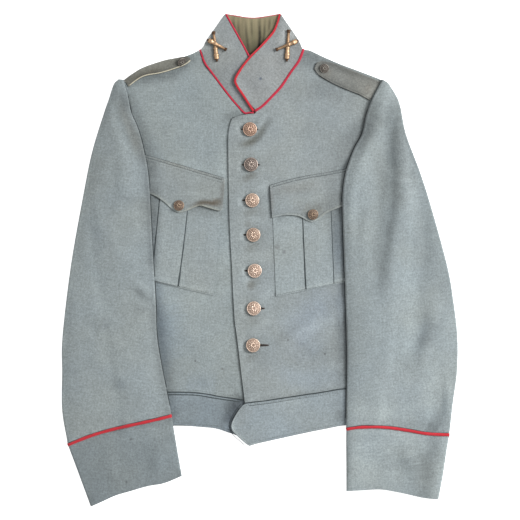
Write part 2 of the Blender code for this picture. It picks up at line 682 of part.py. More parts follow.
def sleeves(jacket):
    """Both sleeves, each an under and a top layer. Their inner folds lie over the body."""
    right = {
        "low_x": RIGHT_SLEEVE_OUTER, "high_x": RIGHT_SLEEVE_INNER, "seam": RIGHT_CUFF_SEAM,
        "cuff_low_x": RIGHT_CUFF_OUTER, "cuff_high_x": RIGHT_CUFF_INNER, "hem": RIGHT_CUFF_HEM,
    }
    left = {
        "low_x": LEFT_SLEEVE_INNER, "high_x": LEFT_SLEEVE_OUTER, "seam": LEFT_CUFF_SEAM,
        "cuff_low_x": LEFT_CUFF_INNER, "cuff_high_x": LEFT_CUFF_OUTER, "hem": LEFT_CUFF_HEM,
    }
    sleeve(jacket, "right", "under", right, radius=UNDER_PIPING_RADIUS)
    sleeve(jacket, "right", "top", right, RIGHT_SLEEVE_FOLDS, SLEEVE_PUFF)
    sleeve(jacket, "left", "under", left, radius=UNDER_PIPING_RADIUS)
    sleeve(jacket, "left", "top", left, LEFT_SLEEVE_FOLDS, SLEEVE_PUFF)


def strap(jacket, side):
    """A shoulder strap, sewn in at the armhole and buttoned near the neck."""
    rows = STRAPS[side]
    cut = patch(
        line(rows["bottom"][0], rows["top"][0]), line(rows["bottom"][-1], rows["top"][-1]),
        curve(rows["bottom"]), curve(rows["top"]),
    )
    jacket.sheet(side + "_shoulder_strap", cut, 7, 2, "trim_wool")


clear_scene()
CUTTERS = bpy.data.collections.new("Cutters")
bpy.context.scene.collection.children.link(CUTTERS)
JACKET = Jacket("Military uniform jacket")
back_pieces(JACKET)
collar_lining(JACKET)
fronts(JACKET)
collar(JACKET)
for wearer_side in ("right", "left"):
    pockets(JACKET, wearer_side)
    strap(JACKET, wearer_side)
sleeves(JACKET)
for button_row in BUTTONS:
    JACKET.button(*button_row)
for wearer_side, barrel_rows in BADGES.items():
    JACKET.badge(wearer_side + "_badge", barrel_rows)
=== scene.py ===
# %% [markdown]
# # A military uniform jacket, laid flat
# The jacket is a short dress tunic of grey-green wool with red piping. It lies on a table with its front
# up, and the camera looks straight down on it. A plain model with the right sizes comes first, as a fixed
# frame, and this lesson puts the cloth, the metal and the thread around it.
# Blender works in metres. A tailor thinks in millimetres, so the tables are in millimetres, and MM turns
# them into metres. X runs to the wearer's left, Y towards the collar and Z up.

# %% Load the frame
import json
import math

import bmesh
import bpy
import numpy as np
from mathutils import Euler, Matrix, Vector, noise
from mathutils.bvhtree import BVHTree

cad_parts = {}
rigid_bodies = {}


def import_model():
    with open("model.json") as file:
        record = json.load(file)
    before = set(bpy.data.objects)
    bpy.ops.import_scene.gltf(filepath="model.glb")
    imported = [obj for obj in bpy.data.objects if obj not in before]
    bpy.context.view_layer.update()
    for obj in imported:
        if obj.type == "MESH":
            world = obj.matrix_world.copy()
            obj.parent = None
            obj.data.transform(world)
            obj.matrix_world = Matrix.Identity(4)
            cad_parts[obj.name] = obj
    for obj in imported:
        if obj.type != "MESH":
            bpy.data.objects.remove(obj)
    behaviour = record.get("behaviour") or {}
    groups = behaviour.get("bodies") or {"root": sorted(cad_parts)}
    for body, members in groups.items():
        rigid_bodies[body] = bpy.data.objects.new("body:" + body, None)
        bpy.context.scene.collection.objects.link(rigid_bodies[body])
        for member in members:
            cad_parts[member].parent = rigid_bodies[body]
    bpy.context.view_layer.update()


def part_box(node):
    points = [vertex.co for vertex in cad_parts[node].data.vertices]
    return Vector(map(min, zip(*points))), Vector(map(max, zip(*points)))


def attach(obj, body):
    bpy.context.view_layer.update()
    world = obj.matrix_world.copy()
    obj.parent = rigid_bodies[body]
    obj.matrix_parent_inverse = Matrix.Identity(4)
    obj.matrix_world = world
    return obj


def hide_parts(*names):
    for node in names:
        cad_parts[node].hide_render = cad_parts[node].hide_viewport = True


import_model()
MM = 0.001

# %% [markdown]
# ## Camera
# A garment that is photographed flat is seen from straight above. A real camera hangs a few metres over
# the table with a long lens, so that the raised parts hardly shift. Blender's camera looks down its own
# -Z axis, so an unturned camera already looks down. Its height follows from similar triangles: the
# picture's width on the table is to the distance as the sensor is to the lens.

# %% Camera
PICTURE = 520  # pixels across
PIXEL = 1.55  # millimetres of the table in one pixel
LENS = 150.0
SENSOR = 36.0
LOOK_AT = (1.55, 0.0, 6.0)

eye = bpy.data.cameras.new("Camera over the table")
eye.lens = LENS
eye.sensor_width = SENSOR
eye.clip_end = 20.0
camera = bpy.data.objects.new("Camera over the table", eye)
bpy.context.scene.collection.objects.link(camera)
distance = PICTURE * PIXEL * LENS / SENSOR
camera.location = (LOOK_AT[0] * MM, LOOK_AT[1] * MM, (LOOK_AT[2] + distance) * MM)
bpy.context.scene.camera = camera
print("camera height in metres:", round(camera.location.z, 3))

# %% [markdown]
# ## Light and table
# The photograph has soft light with a gentle direction: each fold is bright towards the upper right and
# dark towards the lower left, and the right side of the picture is a little brighter. Three things give
# that. The world is a white dome and fills every shadow. A wide lamp at the upper right models the folds,
# and because it is only three metres away, its side gets more light. The table is a pale light table
# that burns out to white, as in a catalogue picture. The Standard view keeps colours as they are mixed.

# %% Light and table
DOME = 0.62
LAMP_POWER = 197.0
LAMP_SIZE = 1.6
LAMP_PLACE = (2.7, 1.1, 2.5)
TABLE_GLOW = 0.75
TABLE_DROP = 0.3  # the table lies this far under the cloth, so that the two never share a face

bpy.context.scene.view_settings.view_transform = "Standard"
world = bpy.data.worlds.new("White dome")
world.use_nodes = True
sky = world.node_tree.nodes["Background"]
sky.inputs["Color"].default_value = (1.0, 1.0, 1.0, 1.0)
sky.inputs["Strength"].default_value = DOME
bpy.context.scene.world = world

lamp_data = bpy.data.lights.new("Wide lamp", "AREA")
lamp_data.energy = LAMP_POWER
lamp_data.size = LAMP_SIZE
lamp = bpy.data.objects.new("Wide lamp", lamp_data)
bpy.context.scene.collection.objects.link(lamp)
lamp.location = LAMP_PLACE
lamp.rotation_euler = (-Vector(LAMP_PLACE)).to_track_quat("-Z", "Y").to_euler()

form = bmesh.new()
bmesh.ops.create_grid(form, x_segments=1, y_segments=1, size=4.0)
table_mesh = bpy.data.meshes.new("table")
form.to_mesh(table_mesh)
form.free()
table = bpy.data.objects.new("table", table_mesh)
bpy.context.scene.collection.objects.link(table)
table.location.z = -TABLE_DROP * MM
paint = bpy.data.materials.new("Pale light table")
paint.use_nodes = True
coat = paint.node_tree.nodes["Principled BSDF"]
coat.inputs["Base Color"].default_value = (0.9, 0.9, 0.9, 1.0)
coat.inputs["Roughness"].default_value = 0.9
coat.inputs["Emission Color"].default_value = (1.0, 1.0, 1.0, 1.0)
coat.inputs["Emission Strength"].default_value = TABLE_GLOW
table_mesh.materials.append(paint)

# %% [markdown]
# ## Cut edges
# A tailor cuts each piece along a few long curves. A Catmull-Rom curve passes through every point of a
# short table, which makes such a curve easy to read from a garment. The helpers below give the fine
# chain of points, the places at shares of its length, and a second chain beside it. NumPy does whole
# lists of points at once, which is much faster than a Python loop.

# %% Curves
CURVE_STEPS = 12


def smooth(rows):
    """A fine chain of points on the Catmull-Rom curve through the rows of a table."""
    knots = np.array(rows, float)
    knots = np.vstack([2 * knots[0] - knots[1], knots, 2 * knots[-1] - knots[-2]])
    t = np.arange(CURVE_STEPS)[:, None] / CURVE_STEPS
    spans = []
    for before, start, end, after in zip(knots, knots[1:], knots[2:], knots[3:]):
        bend = (2 * before - 5 * start + 4 * end - after) * t**2
        twist = (3 * start - before - 3 * end + after) * t**3
        spans.append(start + 0.5 * ((end - before) * t + bend + twist))
    return np.vstack([*spans, knots[-2]])


def reached(chain):
    """How far along a chain each of its points is."""
    return np.concatenate([[0.0], np.cumsum(np.linalg.norm(np.diff(chain, axis=0), axis=1))])


def along(chain, shares):
    """The places at these shares of a chain's length."""
    marks = reached(chain)
    wanted = np.asarray(shares) * marks[-1]
    return np.stack([np.interp(wanted, marks, chain[:, axis]) for axis in (0, 1)], axis=-1)


def beside(chain, distance_aside):
    """The chain moved this far to the left of its own direction."""
    ahead = np.gradient(chain, axis=0)
    side = np.stack([-ahead[:, 1], ahead[:, 0]], axis=1)
    return chain + distance_aside * side / np.linalg.norm(side, axis=1, keepdims=True)


# %% [markdown]
# ## From four edges to a panel
# A panel lies between four cut edges. A Coons patch fills them: it blends the left edge into the right
# one and the lower into the upper, and takes the corners off once, because both blends hold them. An
# edge may be sewn from several chains, such as shoulder, neck and front, each with its own weight.

# %% Edges and patches


def edge(*stretches):
    """A cut edge as a function of shares from 0 to 1. Each stretch is a chain and its weight."""
    marks = np.cumsum([0.0, *(weight for _, weight in stretches)])
    marks = marks / marks[-1]

    def at(shares):
        shares = np.clip(shares, 0.0, 1.0)
        places = np.zeros((*shares.shape, 2))
        for (chain, _), low, high in zip(stretches, marks, marks[1:]):
            inside = (shares >= low) & (shares <= high)
            places[inside] = along(chain, (shares[inside] - low) / (high - low))
        return places

    return at


def curve(rows):
    """A smooth cut edge through the rows of a table."""
    return edge((smooth(rows), 1))


def line(*rows):
    """A straight cut edge through these points."""
    return edge((np.array(rows, float), 1))


def patch(left, right, bottom, top):
    """The Coons patch between four edges: left and right run upwards, bottom and top to the right."""
    ends = np.array([0.0, 1.0])
    low_left, low_right = bottom(ends)
    high_left, high_right = top(ends)

    def at(u, v):
        u, v = np.broadcast_arrays(u, v)
        across, up = u[..., None], v[..., None]
        ruled_across = left(v) * (1 - across) + right(v) * across
        ruled_up = bottom(u) * (1 - up) + top(u) * up
        low = low_left * (1 - across) + low_right * across
        high = high_left * (1 - across) + high_right * across
        return ruled_across + ruled_up - low * (1 - up) - high * up

    return at


# %% [markdown]
# Where a cut turns a sharp inward corner, as between shoulder and neck, the blended grid can fold over
# itself. Moving every inner point to the weighted middle of its four neighbours, many times, pulls such
# a fold flat. The rim stays where it is cut.

# %% Even out a grid


def relaxed(places, u, v, width, length, rounds=500):
    """The grid with its inner points evened out."""
    du, dv = np.diff(u[0]) * width, np.diff(v[:, 0]) * length
    left, right = 1 / (du[:-1] * (du[:-1] + du[1:])), 1 / (du[1:] * (du[:-1] + du[1:]))
    low, high = 1 / (dv[:-1] * (dv[:-1] + dv[1:])), 1 / (dv[1:] * (dv[:-1] + dv[1:]))
    left, right = left[None, :, None], right[None, :, None]
    low, high = low[:, None, None], high[:, None, None]
    total = left + right + low + high
    places = places.copy()
    for _ in range(rounds):
        pull_across = left * places[1:-1, :-2] + right * places[1:-1, 2:]
        pull_up = low * places[:-2, 1:-1] + high * places[2:, 1:-1]
        places[1:-1, 1:-1] = (pull_across + pull_up) / total
    return places


# %% [markdown]
# ## How high the cloth lies
# Each panel rests on what was laid before it. A map of heights over the table answers how high that is:
# after each piece is laid, a ray falls on it through every cell of the map. A panel does not follow a
# sharp step below it, because cloth is stiff. So the map is widened by taking the highest neighbour and
# then softened by the same reach. The softened map is never lower than the real one, and the new cloth
# never cuts into the old.

# %% Map of heights
CELL = 1.5
GAP = 0.3
DOWN = Vector((0.0, 0.0, -1.0))


class HeightMap:
    """The height in millimetres of all that is laid so far, cell by cell."""

    def __init__(self, heights=None):
        self.xs = np.arange(-345.0, 345.0, CELL)
        self.ys = np.arange(-420.0, 420.0, CELL)
        self.heights = np.zeros((len(self.ys), len(self.xs))) if heights is None else heights

    def copy(self):
        return HeightMap(self.heights.copy())

    def lay(self, *pieces):
        bpy.context.view_layer.update()
        depsgraph = bpy.context.evaluated_depsgraph_get()
        for piece in pieces:
            tree = BVHTree.FromObject(piece, depsgraph)
            corners = np.array([corner[:] for corner in piece.bound_box]) / MM
            (left, low, _), (right, high, _) = corners.min(0), corners.max(0)
            for row in range(*np.searchsorted(self.ys, (low, high))):
                for column in range(*np.searchsorted(self.xs, (left, right))):
                    start = Vector((self.xs[column] * MM, self.ys[row] * MM, 1.0))
                    hit = tree.ray_cast(start, DOWN)[0]
                    if hit and hit.z / MM > self.heights[row, column]:
                        self.heights[row, column] = hit.z / MM

    def draped(self, reach):
        """The heights as cloth of this stiffness follows them."""
        cells = max(1, round(reach / CELL))
        soft = self.heights
        for axis in (0, 1):
            soft = np.max([np.roll(soft, shift, axis) for shift in range(-cells, cells + 1)], axis=0)
        half = max(1, cells // 2)
        for axis in (0, 1, 0, 1):
            soft = np.mean([np.roll(soft, shift, axis) for shift in range(-half, half + 1)], axis=0)
        return soft

    def felt(self, places, reach):
        """The draped height at each of these places."""
        soft = self.draped(reach)
        across = (places[..., 0] - self.xs[0]) / CELL
        up = (places[..., 1] - self.ys[0]) / CELL
        column, row = np.floor(across).astype(int), np.floor(up).astype(int)
        x, y = across - column, up - row
        low = soft[row, column] * (1 - x) + soft[row, column + 1] * x
        high = soft[row + 1, column] * (1 - x) + soft[row + 1, column + 1] * x
        return low * (1 - y) + high * y


heap = HeightMap()
print("map cells:", heap.heights.shape)

# %% [markdown]
# ## Folds, dents and painted light and shade
# A fold is a soft stroke on the cloth: a ridge where the stroke has a height, a trough where it is
# negative. The same stroke can also tint the wool, as painted light and shade on a fold or beside an edge.
# Small waves of smooth noise keep the flat stretches from looking ironed by a machine.

# %% Strokes and waves


def stroke(places, rows, half_width, fade=0.3):
    """1 on a soft stroke through these points, 0 beyond its half width, and weaker towards its ends."""
    chain = smooth(rows)
    count = max(4, math.ceil(reached(chain)[-1] / (half_width / 2)))
    chain = along(chain, np.linspace(0, 1, count))
    flat = places.reshape(-1, 2)
    weight = np.zeros(len(flat))
    inside = (flat > chain.min(axis=0) - half_width) & (flat < chain.max(axis=0) + half_width)
    near = inside.all(axis=1)
    if near.any():
        far = np.linalg.norm(flat[near][:, None, :] - chain, axis=2)
        share = far.argmin(axis=1) / (count - 1)
        ends = np.clip(np.minimum(share, 1 - share) / fade, 0, 1) if fade else 1.0
        weight[near] = np.clip(1 - (far.min(axis=1) / half_width) ** 2, 0, 1) ** 2 * (0.25 + 0.75 * ends)
    return weight.reshape(places.shape[:-1])


def relief(places, folds):
    """The height that a table of folds gives, in millimetres."""
    level = np.zeros(places.shape[:-1])
    return sum((height * stroke(places, rows, half) for rows, half, height in folds), level)


def waves(places, length, seed):
    """Smooth noise between about -1 and 1, with waves of this length."""
    flat = places.reshape(-1, 2) / length
    values = [noise.noise((x, y, seed)) for x, y in flat]
    return np.array(values).reshape(places.shape[:-1]) * 1.6


def bulge(shares):
    """0 at both edges and close to 1 over the middle."""
    return 1 - (2 * shares - 1) ** 4


# %% [markdown]
# ## Painted light and shade
# A jacket that was worn and then stored for a century isn't of one brightness. Broad soft strokes of
# painted light and shade go over it: painted shade beside the sleeves, where the light hardly
# reaches, and on the flanks of folds that face away from the lamp, and painted highlights on the ridges.
# The strokes go over the whole front, so a sleeve and the front beside it darken together. A panel has
# its own tint below them, because its piece of cloth was cut from another part of the length or was
# worn more; on the waistbands and the cuffs that tint is painted light and shade as well.

# %% Shades of the whole front
# The strokes were chosen where the render was darker or paler than the photo, so they are in the
# photo's pixels.
# Columns: the points of the stroke, its half width, and the painted brightness along its middle: below 1
# is painted shade, above 1 painted light.
PHOTO_MIDDLE = (259, 260)
PAINTED_STROKES = (
    # Painted shade beside the sleeves, where the light hardly reaches, and a few painted highlights.
    (((121, 84), (130, 106), (141, 138), (149, 172), (151, 215), (154, 275)), 15, 0.62),
    (((152, 235), (153, 275)), 7, 0.88), (((120, 114), (128, 132)), 7, 1.3),
    (((153, 285), (160, 330), (165, 365), (168, 400)), 14, 0.7), (((170, 408), (174, 418)), 16, 0.85),
    (((380, 98), (374, 118), (356, 138), (343, 158)), 20, 0.66),
    (((337, 165), (335, 200), (335, 235), (338, 270)), 14, 0.73),
    (((340, 300), (342, 335), (342, 360), (341, 400)), 12, 0.76), (((152, 248), (152, 272)), 8, 0.85),
    (((123, 93), (128, 112)), 7, 0.8), (((125, 84), (124, 100), (130, 112)), 7, 0.85),
    (((165, 360), (168, 385), (173, 418)), 9, 0.82),
    # Left sleeve: painted highlights on the ridges of its folds, and painted shade on their other flanks.
    (((397, 100), (401, 125), (404, 160), (405, 205)), 20, 0.66),
    (((384, 148), (386, 175), (391, 200)), 15, 0.86), (((405, 190), (424, 250), (442, 300)), 26, 0.86),
    (((381, 240), (382, 300)), 15, 0.78), (((447, 265), (447, 310)), 12, 0.85),
    (((437, 315), (424, 350)), 12, 0.74), (((392, 215), (395, 250)), 14, 0.91),
    (((403, 195), (401, 280)), 9, 0.88), (((358, 148), (351, 178), (348, 215), (352, 240)), 11, 1.14),
    (((358, 275), (361, 305)), 12, 1.06), (((410, 255), (410, 300), (408, 350)), 12, 1.16),
    (((424, 318), (412, 345), (404, 365)), 10, 1.14), (((403, 160), (408, 176)), 9, 1.12),
    (((432, 362), (432, 395)), 14, 1.16), (((350, 410), (385, 412), (425, 412)), 14, 1.2),
    (((358, 395), (362, 440)), 14, 1.12), (((432, 400), (426, 415)), 10, 1.15),
    (((346, 432), (347, 488)), 8, 0.85), (((365, 350), (370, 395)), 14, 1.05),
    (((377, 165), (371, 190), (366, 230)), 9, 0.88), (((362, 440), (366, 488)), 19, 1.14),
    (((407, 472), (408, 484)), 9, 1.14), (((426, 424), (440, 430)), 11, 0.7),
    (((418, 450), (424, 470), (424, 494)), 16, 0.66), (((433, 425), (436, 445), (432, 465)), 11, 0.76),
    (((420, 490), (430, 494)), 10, 0.84), (((386, 450), (390, 475)), 14, 0.89),
    (((428, 428), (431, 455), (428, 488)), 12, 0.85), (((412, 338), (411, 352)), 9, 1.08),
    (((380, 100), (376, 140), (381, 175)), 12, 0.86), (((399, 100), (401, 125)), 6, 0.85),
    (((347, 436), (347, 490)), 6, 0.8), (((408, 462), (408, 480)), 9, 1.08),
    (((415, 494), (434, 494)), 8, 0.85), (((438, 410), (442, 428)), 7, 0.78),
    (((425, 395), (433, 398)), 12, 1.08), (((424, 417), (432, 419)), 7, 1.1),
    (((418, 345), (432, 340)), 9, 0.9), (((383, 360), (386, 395)), 11, 0.93),
    # Right sleeve: painted highlights on the ridges of its folds, and painted shade on their other flanks.
    (((89, 172), (92, 200), (98, 228), (105, 250)), 12, 1.13),
    (((74, 238), (72, 275), (77, 308)), 9, 1.1),
    (((96, 240), (100, 270), (103, 300), (108, 330), (113, 362), (119, 400), (124, 428)), 12, 1.22),
    (((132, 305), (148, 312)), 9, 0.82), (((60, 385), (62, 410)), 6, 1.2),
    (((105, 95), (106, 135)), 10, 0.86), (((61, 330), (61, 352)), 7, 1.2),
    (((118, 256), (137, 250)), 13, 1.08), (((134, 292), (146, 300)), 9, 0.82),
    (((103, 158), (106, 200), (117, 230)), 11, 0.92), (((133, 195), (135, 210)), 13, 0.93),
    (((118, 434), (150, 434), (174, 430)), 11, 1.25), (((146, 462), (146, 478)), 10, 1.08),
    (((86, 503), (98, 500)), 12, 0.83), (((176, 478), (183, 474)), 10, 0.83),
    (((119, 392), (121, 428)), 8, 1.13), (((138, 415), (158, 412)), 8, 1.06),
    (((78, 255), (80, 320)), 10, 1.05), (((106, 122), (110, 150)), 9, 0.93),
    # Shoulders and collar: painted light and shade.
    (((126, 82), (150, 77), (172, 74), (192, 62)), 10, 0.68), (((178, 64), (190, 62)), 10, 0.66),
    (((132, 73), (150, 66), (172, 59)), 6, 1.15), (((298, 50), (306, 58), (322, 64)), 17, 0.68),
    (((300, 92), (322, 88), (348, 98)), 18, 0.8), (((369, 84), (371, 100)), 12, 1.42),
    (((322, 72), (350, 80)), 7, 1.1), (((203, 44), (208, 36), (215, 27)), 13, 1.7),
    (((290, 28), (284, 48)), 12, 1.42), (((238, 72), (238, 84), (248, 100), (253, 110)), 13, 1.2),
    (((224, 42), (226, 52)), 13, 1.25), (((214, 62), (216, 70)), 12, 1.17),
    (((270, 94), (275, 100)), 8, 1.12), (((206, 40), (209, 46)), 8, 1.25),
    (((250, 40), (250, 54)), 12, 0.84), (((300, 51), (322, 60), (350, 72), (378, 81)), 5, 0.72),
    (((132, 80), (150, 77), (175, 73)), 7, 0.86), (((182, 60), (196, 55)), 7, 0.82),
    (((286, 27), (290, 37)), 7, 1.14), (((238, 98), (236, 84)), 8, 1.1),
    (((185, 92), (210, 92)), 12, 0.95), (((316, 70), (320, 76)), 8, 1.18),
    (((345, 97), (356, 98)), 8, 0.92), (((180, 62), (186, 60)), 5, 0.88),
    # Right front: painted light and shade.
    (((165, 163), (190, 166), (214, 174)), 11, 1.13),
    (((158, 228), (162, 290), (185, 300), (232, 293)), 20, 1.14), (((176, 240), (180, 285)), 10, 1.1),
    (((225, 150), (224, 172), (223, 190)), 11, 1.2), (((215, 240), (225, 270), (232, 295)), 14, 1.08),
    (((228, 228), (228, 268)), 11, 1.12), (((180, 300), (205, 330), (225, 380)), 44, 1.07),
    (((150, 182), (160, 184)), 9, 1.12), (((183, 191), (216, 199)), 6, 1.09),
    (((173, 203), (176, 209)), 7, 1.17), (((186, 209), (205, 212), (224, 211)), 9, 0.82),
    (((166, 176), (190, 187), (213, 189)), 6, 0.95), (((226, 176), (225, 186)), 10, 1.08),
    (((225, 284), (226, 296)), 12, 1.08), (((156, 222), (160, 240), (160, 254)), 9, 1.12),
    (((152, 176), (156, 190)), 8, 1.08), (((172, 202), (176, 210)), 8, 1.12),
    (((188, 205), (194, 213)), 9, 0.92), (((205, 112), (190, 105)), 14, 0.95),
    # Left front: painted light and shade.
    (((280, 215), (284, 220)), 14, 0.84), (((300, 130), (308, 195)), 26, 1.06),
    (((280, 187), (283, 195)), 14, 0.88), (((290, 240), (290, 270)), 18, 0.92),
    (((247, 112), (227, 118), (222, 126)), 9, 0.72), (((242, 222), (262, 222)), 9, 1.15),
    (((240, 258), (268, 258)), 10, 1.1), (((242, 283), (252, 280)), 7, 1.18),
    (((262, 290), (270, 300)), 14, 1.12), (((350, 205), (348, 228)), 10, 1.16),
    (((336, 366), (344, 368)), 8, 1.2), (((338, 408), (342, 424)), 10, 0.72),
    (((322, 86), (316, 100)), 10, 0.95), (((262, 183), (263, 193)), 10, 1.11),
    (((322, 200), (325, 222)), 14, 0.88), (((262, 249), (264, 263)), 12, 1.13),
    (((256, 156), (268, 145)), 10, 1.09), (((297, 338), (312, 328), (327, 314)), 10, 1.26),
    (((272, 347), (290, 331), (302, 318)), 8, 0.89), (((250, 337), (262, 325), (280, 311)), 8, 1.1),
    (((305, 287), (326, 280)), 7, 1.1), (((250, 378), (290, 382), (322, 376)), 20, 1.08),
    (((246, 398), (262, 400)), 10, 1.1), (((252, 396), (300, 402)), 12, 1.06),
    (((261, 204), (261, 264)), 10, 0.92), (((306, 332), (316, 340)), 14, 1.08),
    (((238, 150), (241, 200), (244, 250), (246, 300)), 11, 1.06), (((262, 180), (262, 196)), 9, 1.08),
    (((262, 214), (262, 230)), 8, 1.08), (((266, 275), (268, 300), (262, 330)), 10, 1.07),
    (((342, 295), (338, 312), (318, 334)), 10, 1.12), (((330, 368), (343, 362)), 8, 1.1),
    (((300, 356), (340, 350)), 9, 0.92), (((282, 215), (300, 212), (334, 206)), 12, 0.92),
    (((318, 180), (338, 178)), 8, 0.93), (((300, 284), (316, 284)), 7, 0.9),
    (((238, 396), (244, 400)), 6, 0.85), (((241, 122), (242, 132)), 7, 1.08),
    (((246, 272), (248, 296)), 8, 1.08), (((340, 148), (342, 165)), 9, 0.94),
    (((255, 332), (285, 322), (315, 300)), 9, 1.05),
    # Right band beside the tab: the tab's painted shadow, and painted light.
    (((222, 413), (233, 405), (243, 392)), 13, 0.62), (((224, 430), (231, 427)), 9, 1.5),
    (((180, 398), (205, 395)), 8, 1.09), (((228, 424), (229, 432)), 7, 1.2),
    (((170, 412), (172, 424)), 8, 0.85), (((176, 396), (200, 394)), 6, 1.05),
)


def laid(x, y):
    """Where a pixel of the photo lies, to the millimetre."""
    return round((x - PHOTO_MIDDLE[0]) * PIXEL), round((PHOTO_MIDDLE[1] - y) * PIXEL)


PAINTED_LIGHT_AND_SHADE = tuple(
    (tuple(laid(*point) for point in points), round(half * PIXEL), bright)
    for points, half, bright in PAINTED_STROKES
)


def tinting(panel, strokes=(), shades=PAINTED_LIGHT_AND_SHADE):
    """A function for the wool's tint at places: the panel's own, and strokes of painted light and shade."""

    def at(places):
        tints = np.ones((len(places), 3)) * panel
        for rows, half, color in (*strokes, *shades):
            weight = stroke(places, rows, half)[:, None]
            tints = tints * (1 - weight + weight * np.array(color))
        return tints

    return at


print("shades of the front:", len(PAINTED_LIGHT_AND_SHADE))

# %% [markdown]
# ## Cloth with a thickness
# A panel starts as a grid whose points are moved to their places and heights. Two modifiers finish it:
# Solidify gives the wall, and Bevel rounds the cut edges, because folded wool has no sharp corner. The
# grid is finer near its rims, where the rounding is. Two maps go with every panel: a UV map turned along
# the grain of the cloth, so that the weave follows the cut, and a colour attribute with the tint.

# %% Panels
RIM_STOPS = (0.0, 1.3, 3.0)
ROUNDING = 0.85


def stops(length, step):
    """Shares of a length where the lines of a grid stand: close together at both rims."""
    inner = np.linspace(RIM_STOPS[-1], length - RIM_STOPS[-1], max(3, round(length / step)))
    rims = np.array(RIM_STOPS[:-1])
    return np.concatenate([rims, inner, length - rims[::-1]]) / length


def link(name, data):
    """A new object in the scene."""
    piece = bpy.data.objects.new(name, data)
    bpy.context.scene.collection.objects.link(piece)
    return piece


def applied(piece):
    """The piece with its modifiers worked into a plain mesh."""
    bpy.context.view_layer.update()
    depsgraph = bpy.context.evaluated_depsgraph_get()
    plain = bpy.data.meshes.new_from_object(piece.evaluated_get(depsgraph))
    name = piece.name
    bpy.data.objects.remove(piece)
    plain.shade_smooth()
    return link(name, plain)


def grid(name, places, heights):
    """A grid of faces whose points stand at these places and heights, in millimetres."""
    rows, columns = heights.shape
    form = bmesh.new()
    bmesh.ops.create_grid(form, x_segments=columns - 1, y_segments=rows - 1, size=0.5)
    mesh = bpy.data.meshes.new(name)
    form.to_mesh(mesh)
    form.free()
    spots = np.empty(len(mesh.vertices) * 3, np.float32)
    mesh.vertices.foreach_get("co", spots)
    spots = spots.reshape(-1, 3)
    column = np.rint((spots[:, 0] + 0.5) * (columns - 1)).astype(int)
    row = np.rint((spots[:, 1] + 0.5) * (rows - 1)).astype(int)
    spots = np.column_stack([places[row, column], heights[row, column]]) * MM
    mesh.vertices.foreach_set("co", spots.astype(np.float32).ravel())
    return link(name, mesh)


def wall(piece, thickness, outer=False, rounding=ROUNDING):
    """Gives a grid its thickness, upwards or, for an outer skin, inwards, and rounds its rims."""
    solid = piece.modifiers.new("Wall", "SOLIDIFY")
    solid.thickness = thickness * MM
    solid.offset = -1.0 if outer else 1.0
    rim = piece.modifiers.new("Rims", "BEVEL")
    rim.width = rounding * MM
    rim.segments = 3
    rim.limit_method = "ANGLE"
    rim.angle_limit = math.radians(55)
    return applied(piece)


def spots_of(piece):
    """The points of a piece's mesh, in millimetres."""
    spots = np.empty(len(piece.data.vertices) * 3, np.float32)
    piece.data.vertices.foreach_get("co", spots)
    return spots.reshape(-1, 3) / MM


def mark_cloth(piece, grain, tint):
    """Adds the map of the weave, turned by the angle of the grain, and the tint of the wool."""
    spots = spots_of(piece)[:, :2]
    turn = math.radians(grain)
    turned = spots @ np.array([[math.cos(turn), math.sin(turn)], [-math.sin(turn), math.cos(turn)]]) * MM
    corners = np.empty(len(piece.data.loops), np.int32)
    piece.data.loops.foreach_get("vertex_index", corners)
    weave_map = piece.data.uv_layers.new(name="Weave")
    weave_map.data.foreach_set("uv", turned[corners].astype(np.float32).ravel())
    tints = piece.data.color_attributes.new(name="Tint", type="FLOAT_COLOR", domain="POINT")
    colors = np.column_stack([tint(spots), np.ones(len(spots))])
    tints.data.foreach_set("color", colors.astype(np.float32).ravel())


# %% [markdown]
# ## Mixing a material
# A material is a small recipe of shader nodes. The class below adds a node and feeds its sockets in one
# line, so that each recipe reads from the top down. Colours are given as they look in the picture, from
# 0 to 255, and turned into the share of light that the dye sends back under this studio's light.

# %% Recipes
STUDIO = 1.5  # how bright a white cloth would be under these lights


def dye(red, green, blue):
    """The share of light that a dye sends back, from its look in the picture."""
    return (*((((tone / 255 + 0.055) / 1.055) ** 2.4) / STUDIO for tone in (red, green, blue)), 1.0)


class Recipe:
    """A material whose nodes are added one by one."""

    def __init__(self, name, **settings):
        self.material = bpy.data.materials.new(name)
        self.material.use_nodes = True
        self.tree = self.material.node_tree
        self.shader = self.tree.nodes["Principled BSDF"]
        for socket, value in settings.items():
            self.shader.inputs[socket.replace("_", " ").title().replace("Ior", "IOR")].default_value = value

    def feed(self, socket, value):
        if isinstance(value, bpy.types.NodeSocket):
            self.tree.links.new(value, socket)
        else:
            socket.default_value = value

    def add(self, kind, inputs=(), **settings):
        node = self.tree.nodes.new("ShaderNode" + kind)
        for setting, value in settings.items():
            setattr(node, setting, value)
        for socket, value in dict(inputs).items():
            self.feed(node.inputs[socket], value)
        return node

    def blend(self, factor, first, second, way="MIX"):
        node = self.add("Mix", data_type="RGBA", blend_type=way)
        for socket, value in zip((node.inputs[0], node.inputs[6], node.inputs[7]), (factor, first, second)):
            self.feed(socket, value)
        return node.outputs[2]

    def graded(self, value, low, high, to_low=0.0, to_high=1.0):
        spans = {"Value": value, "From Min": low, "From Max": high, "To Min": to_low, "To Max": to_high}
        return self.add("MapRange", spans).outputs["Result"]

    def speckle(self, place, scale, detail=2.0, roughness=0.5):
        inputs = {"Vector": place, "Scale": scale, "Detail": detail, "Roughness": roughness}
        return self.add("TexNoise", inputs).outputs["Fac"]

    def finish(self, color, height=None, depth=0.3, roughness=None):
        self.feed(self.shader.inputs["Base Color"], color)
        if roughness is not None:
            self.feed(self.shader.inputs["Roughness"], roughness)
        if height is not None:
            bump = self.add("Bump", {"Height": height, "Distance": depth * MM})
            self.feed(self.shader.inputs["Normal"], bump.outputs["Normal"])
        return self.material


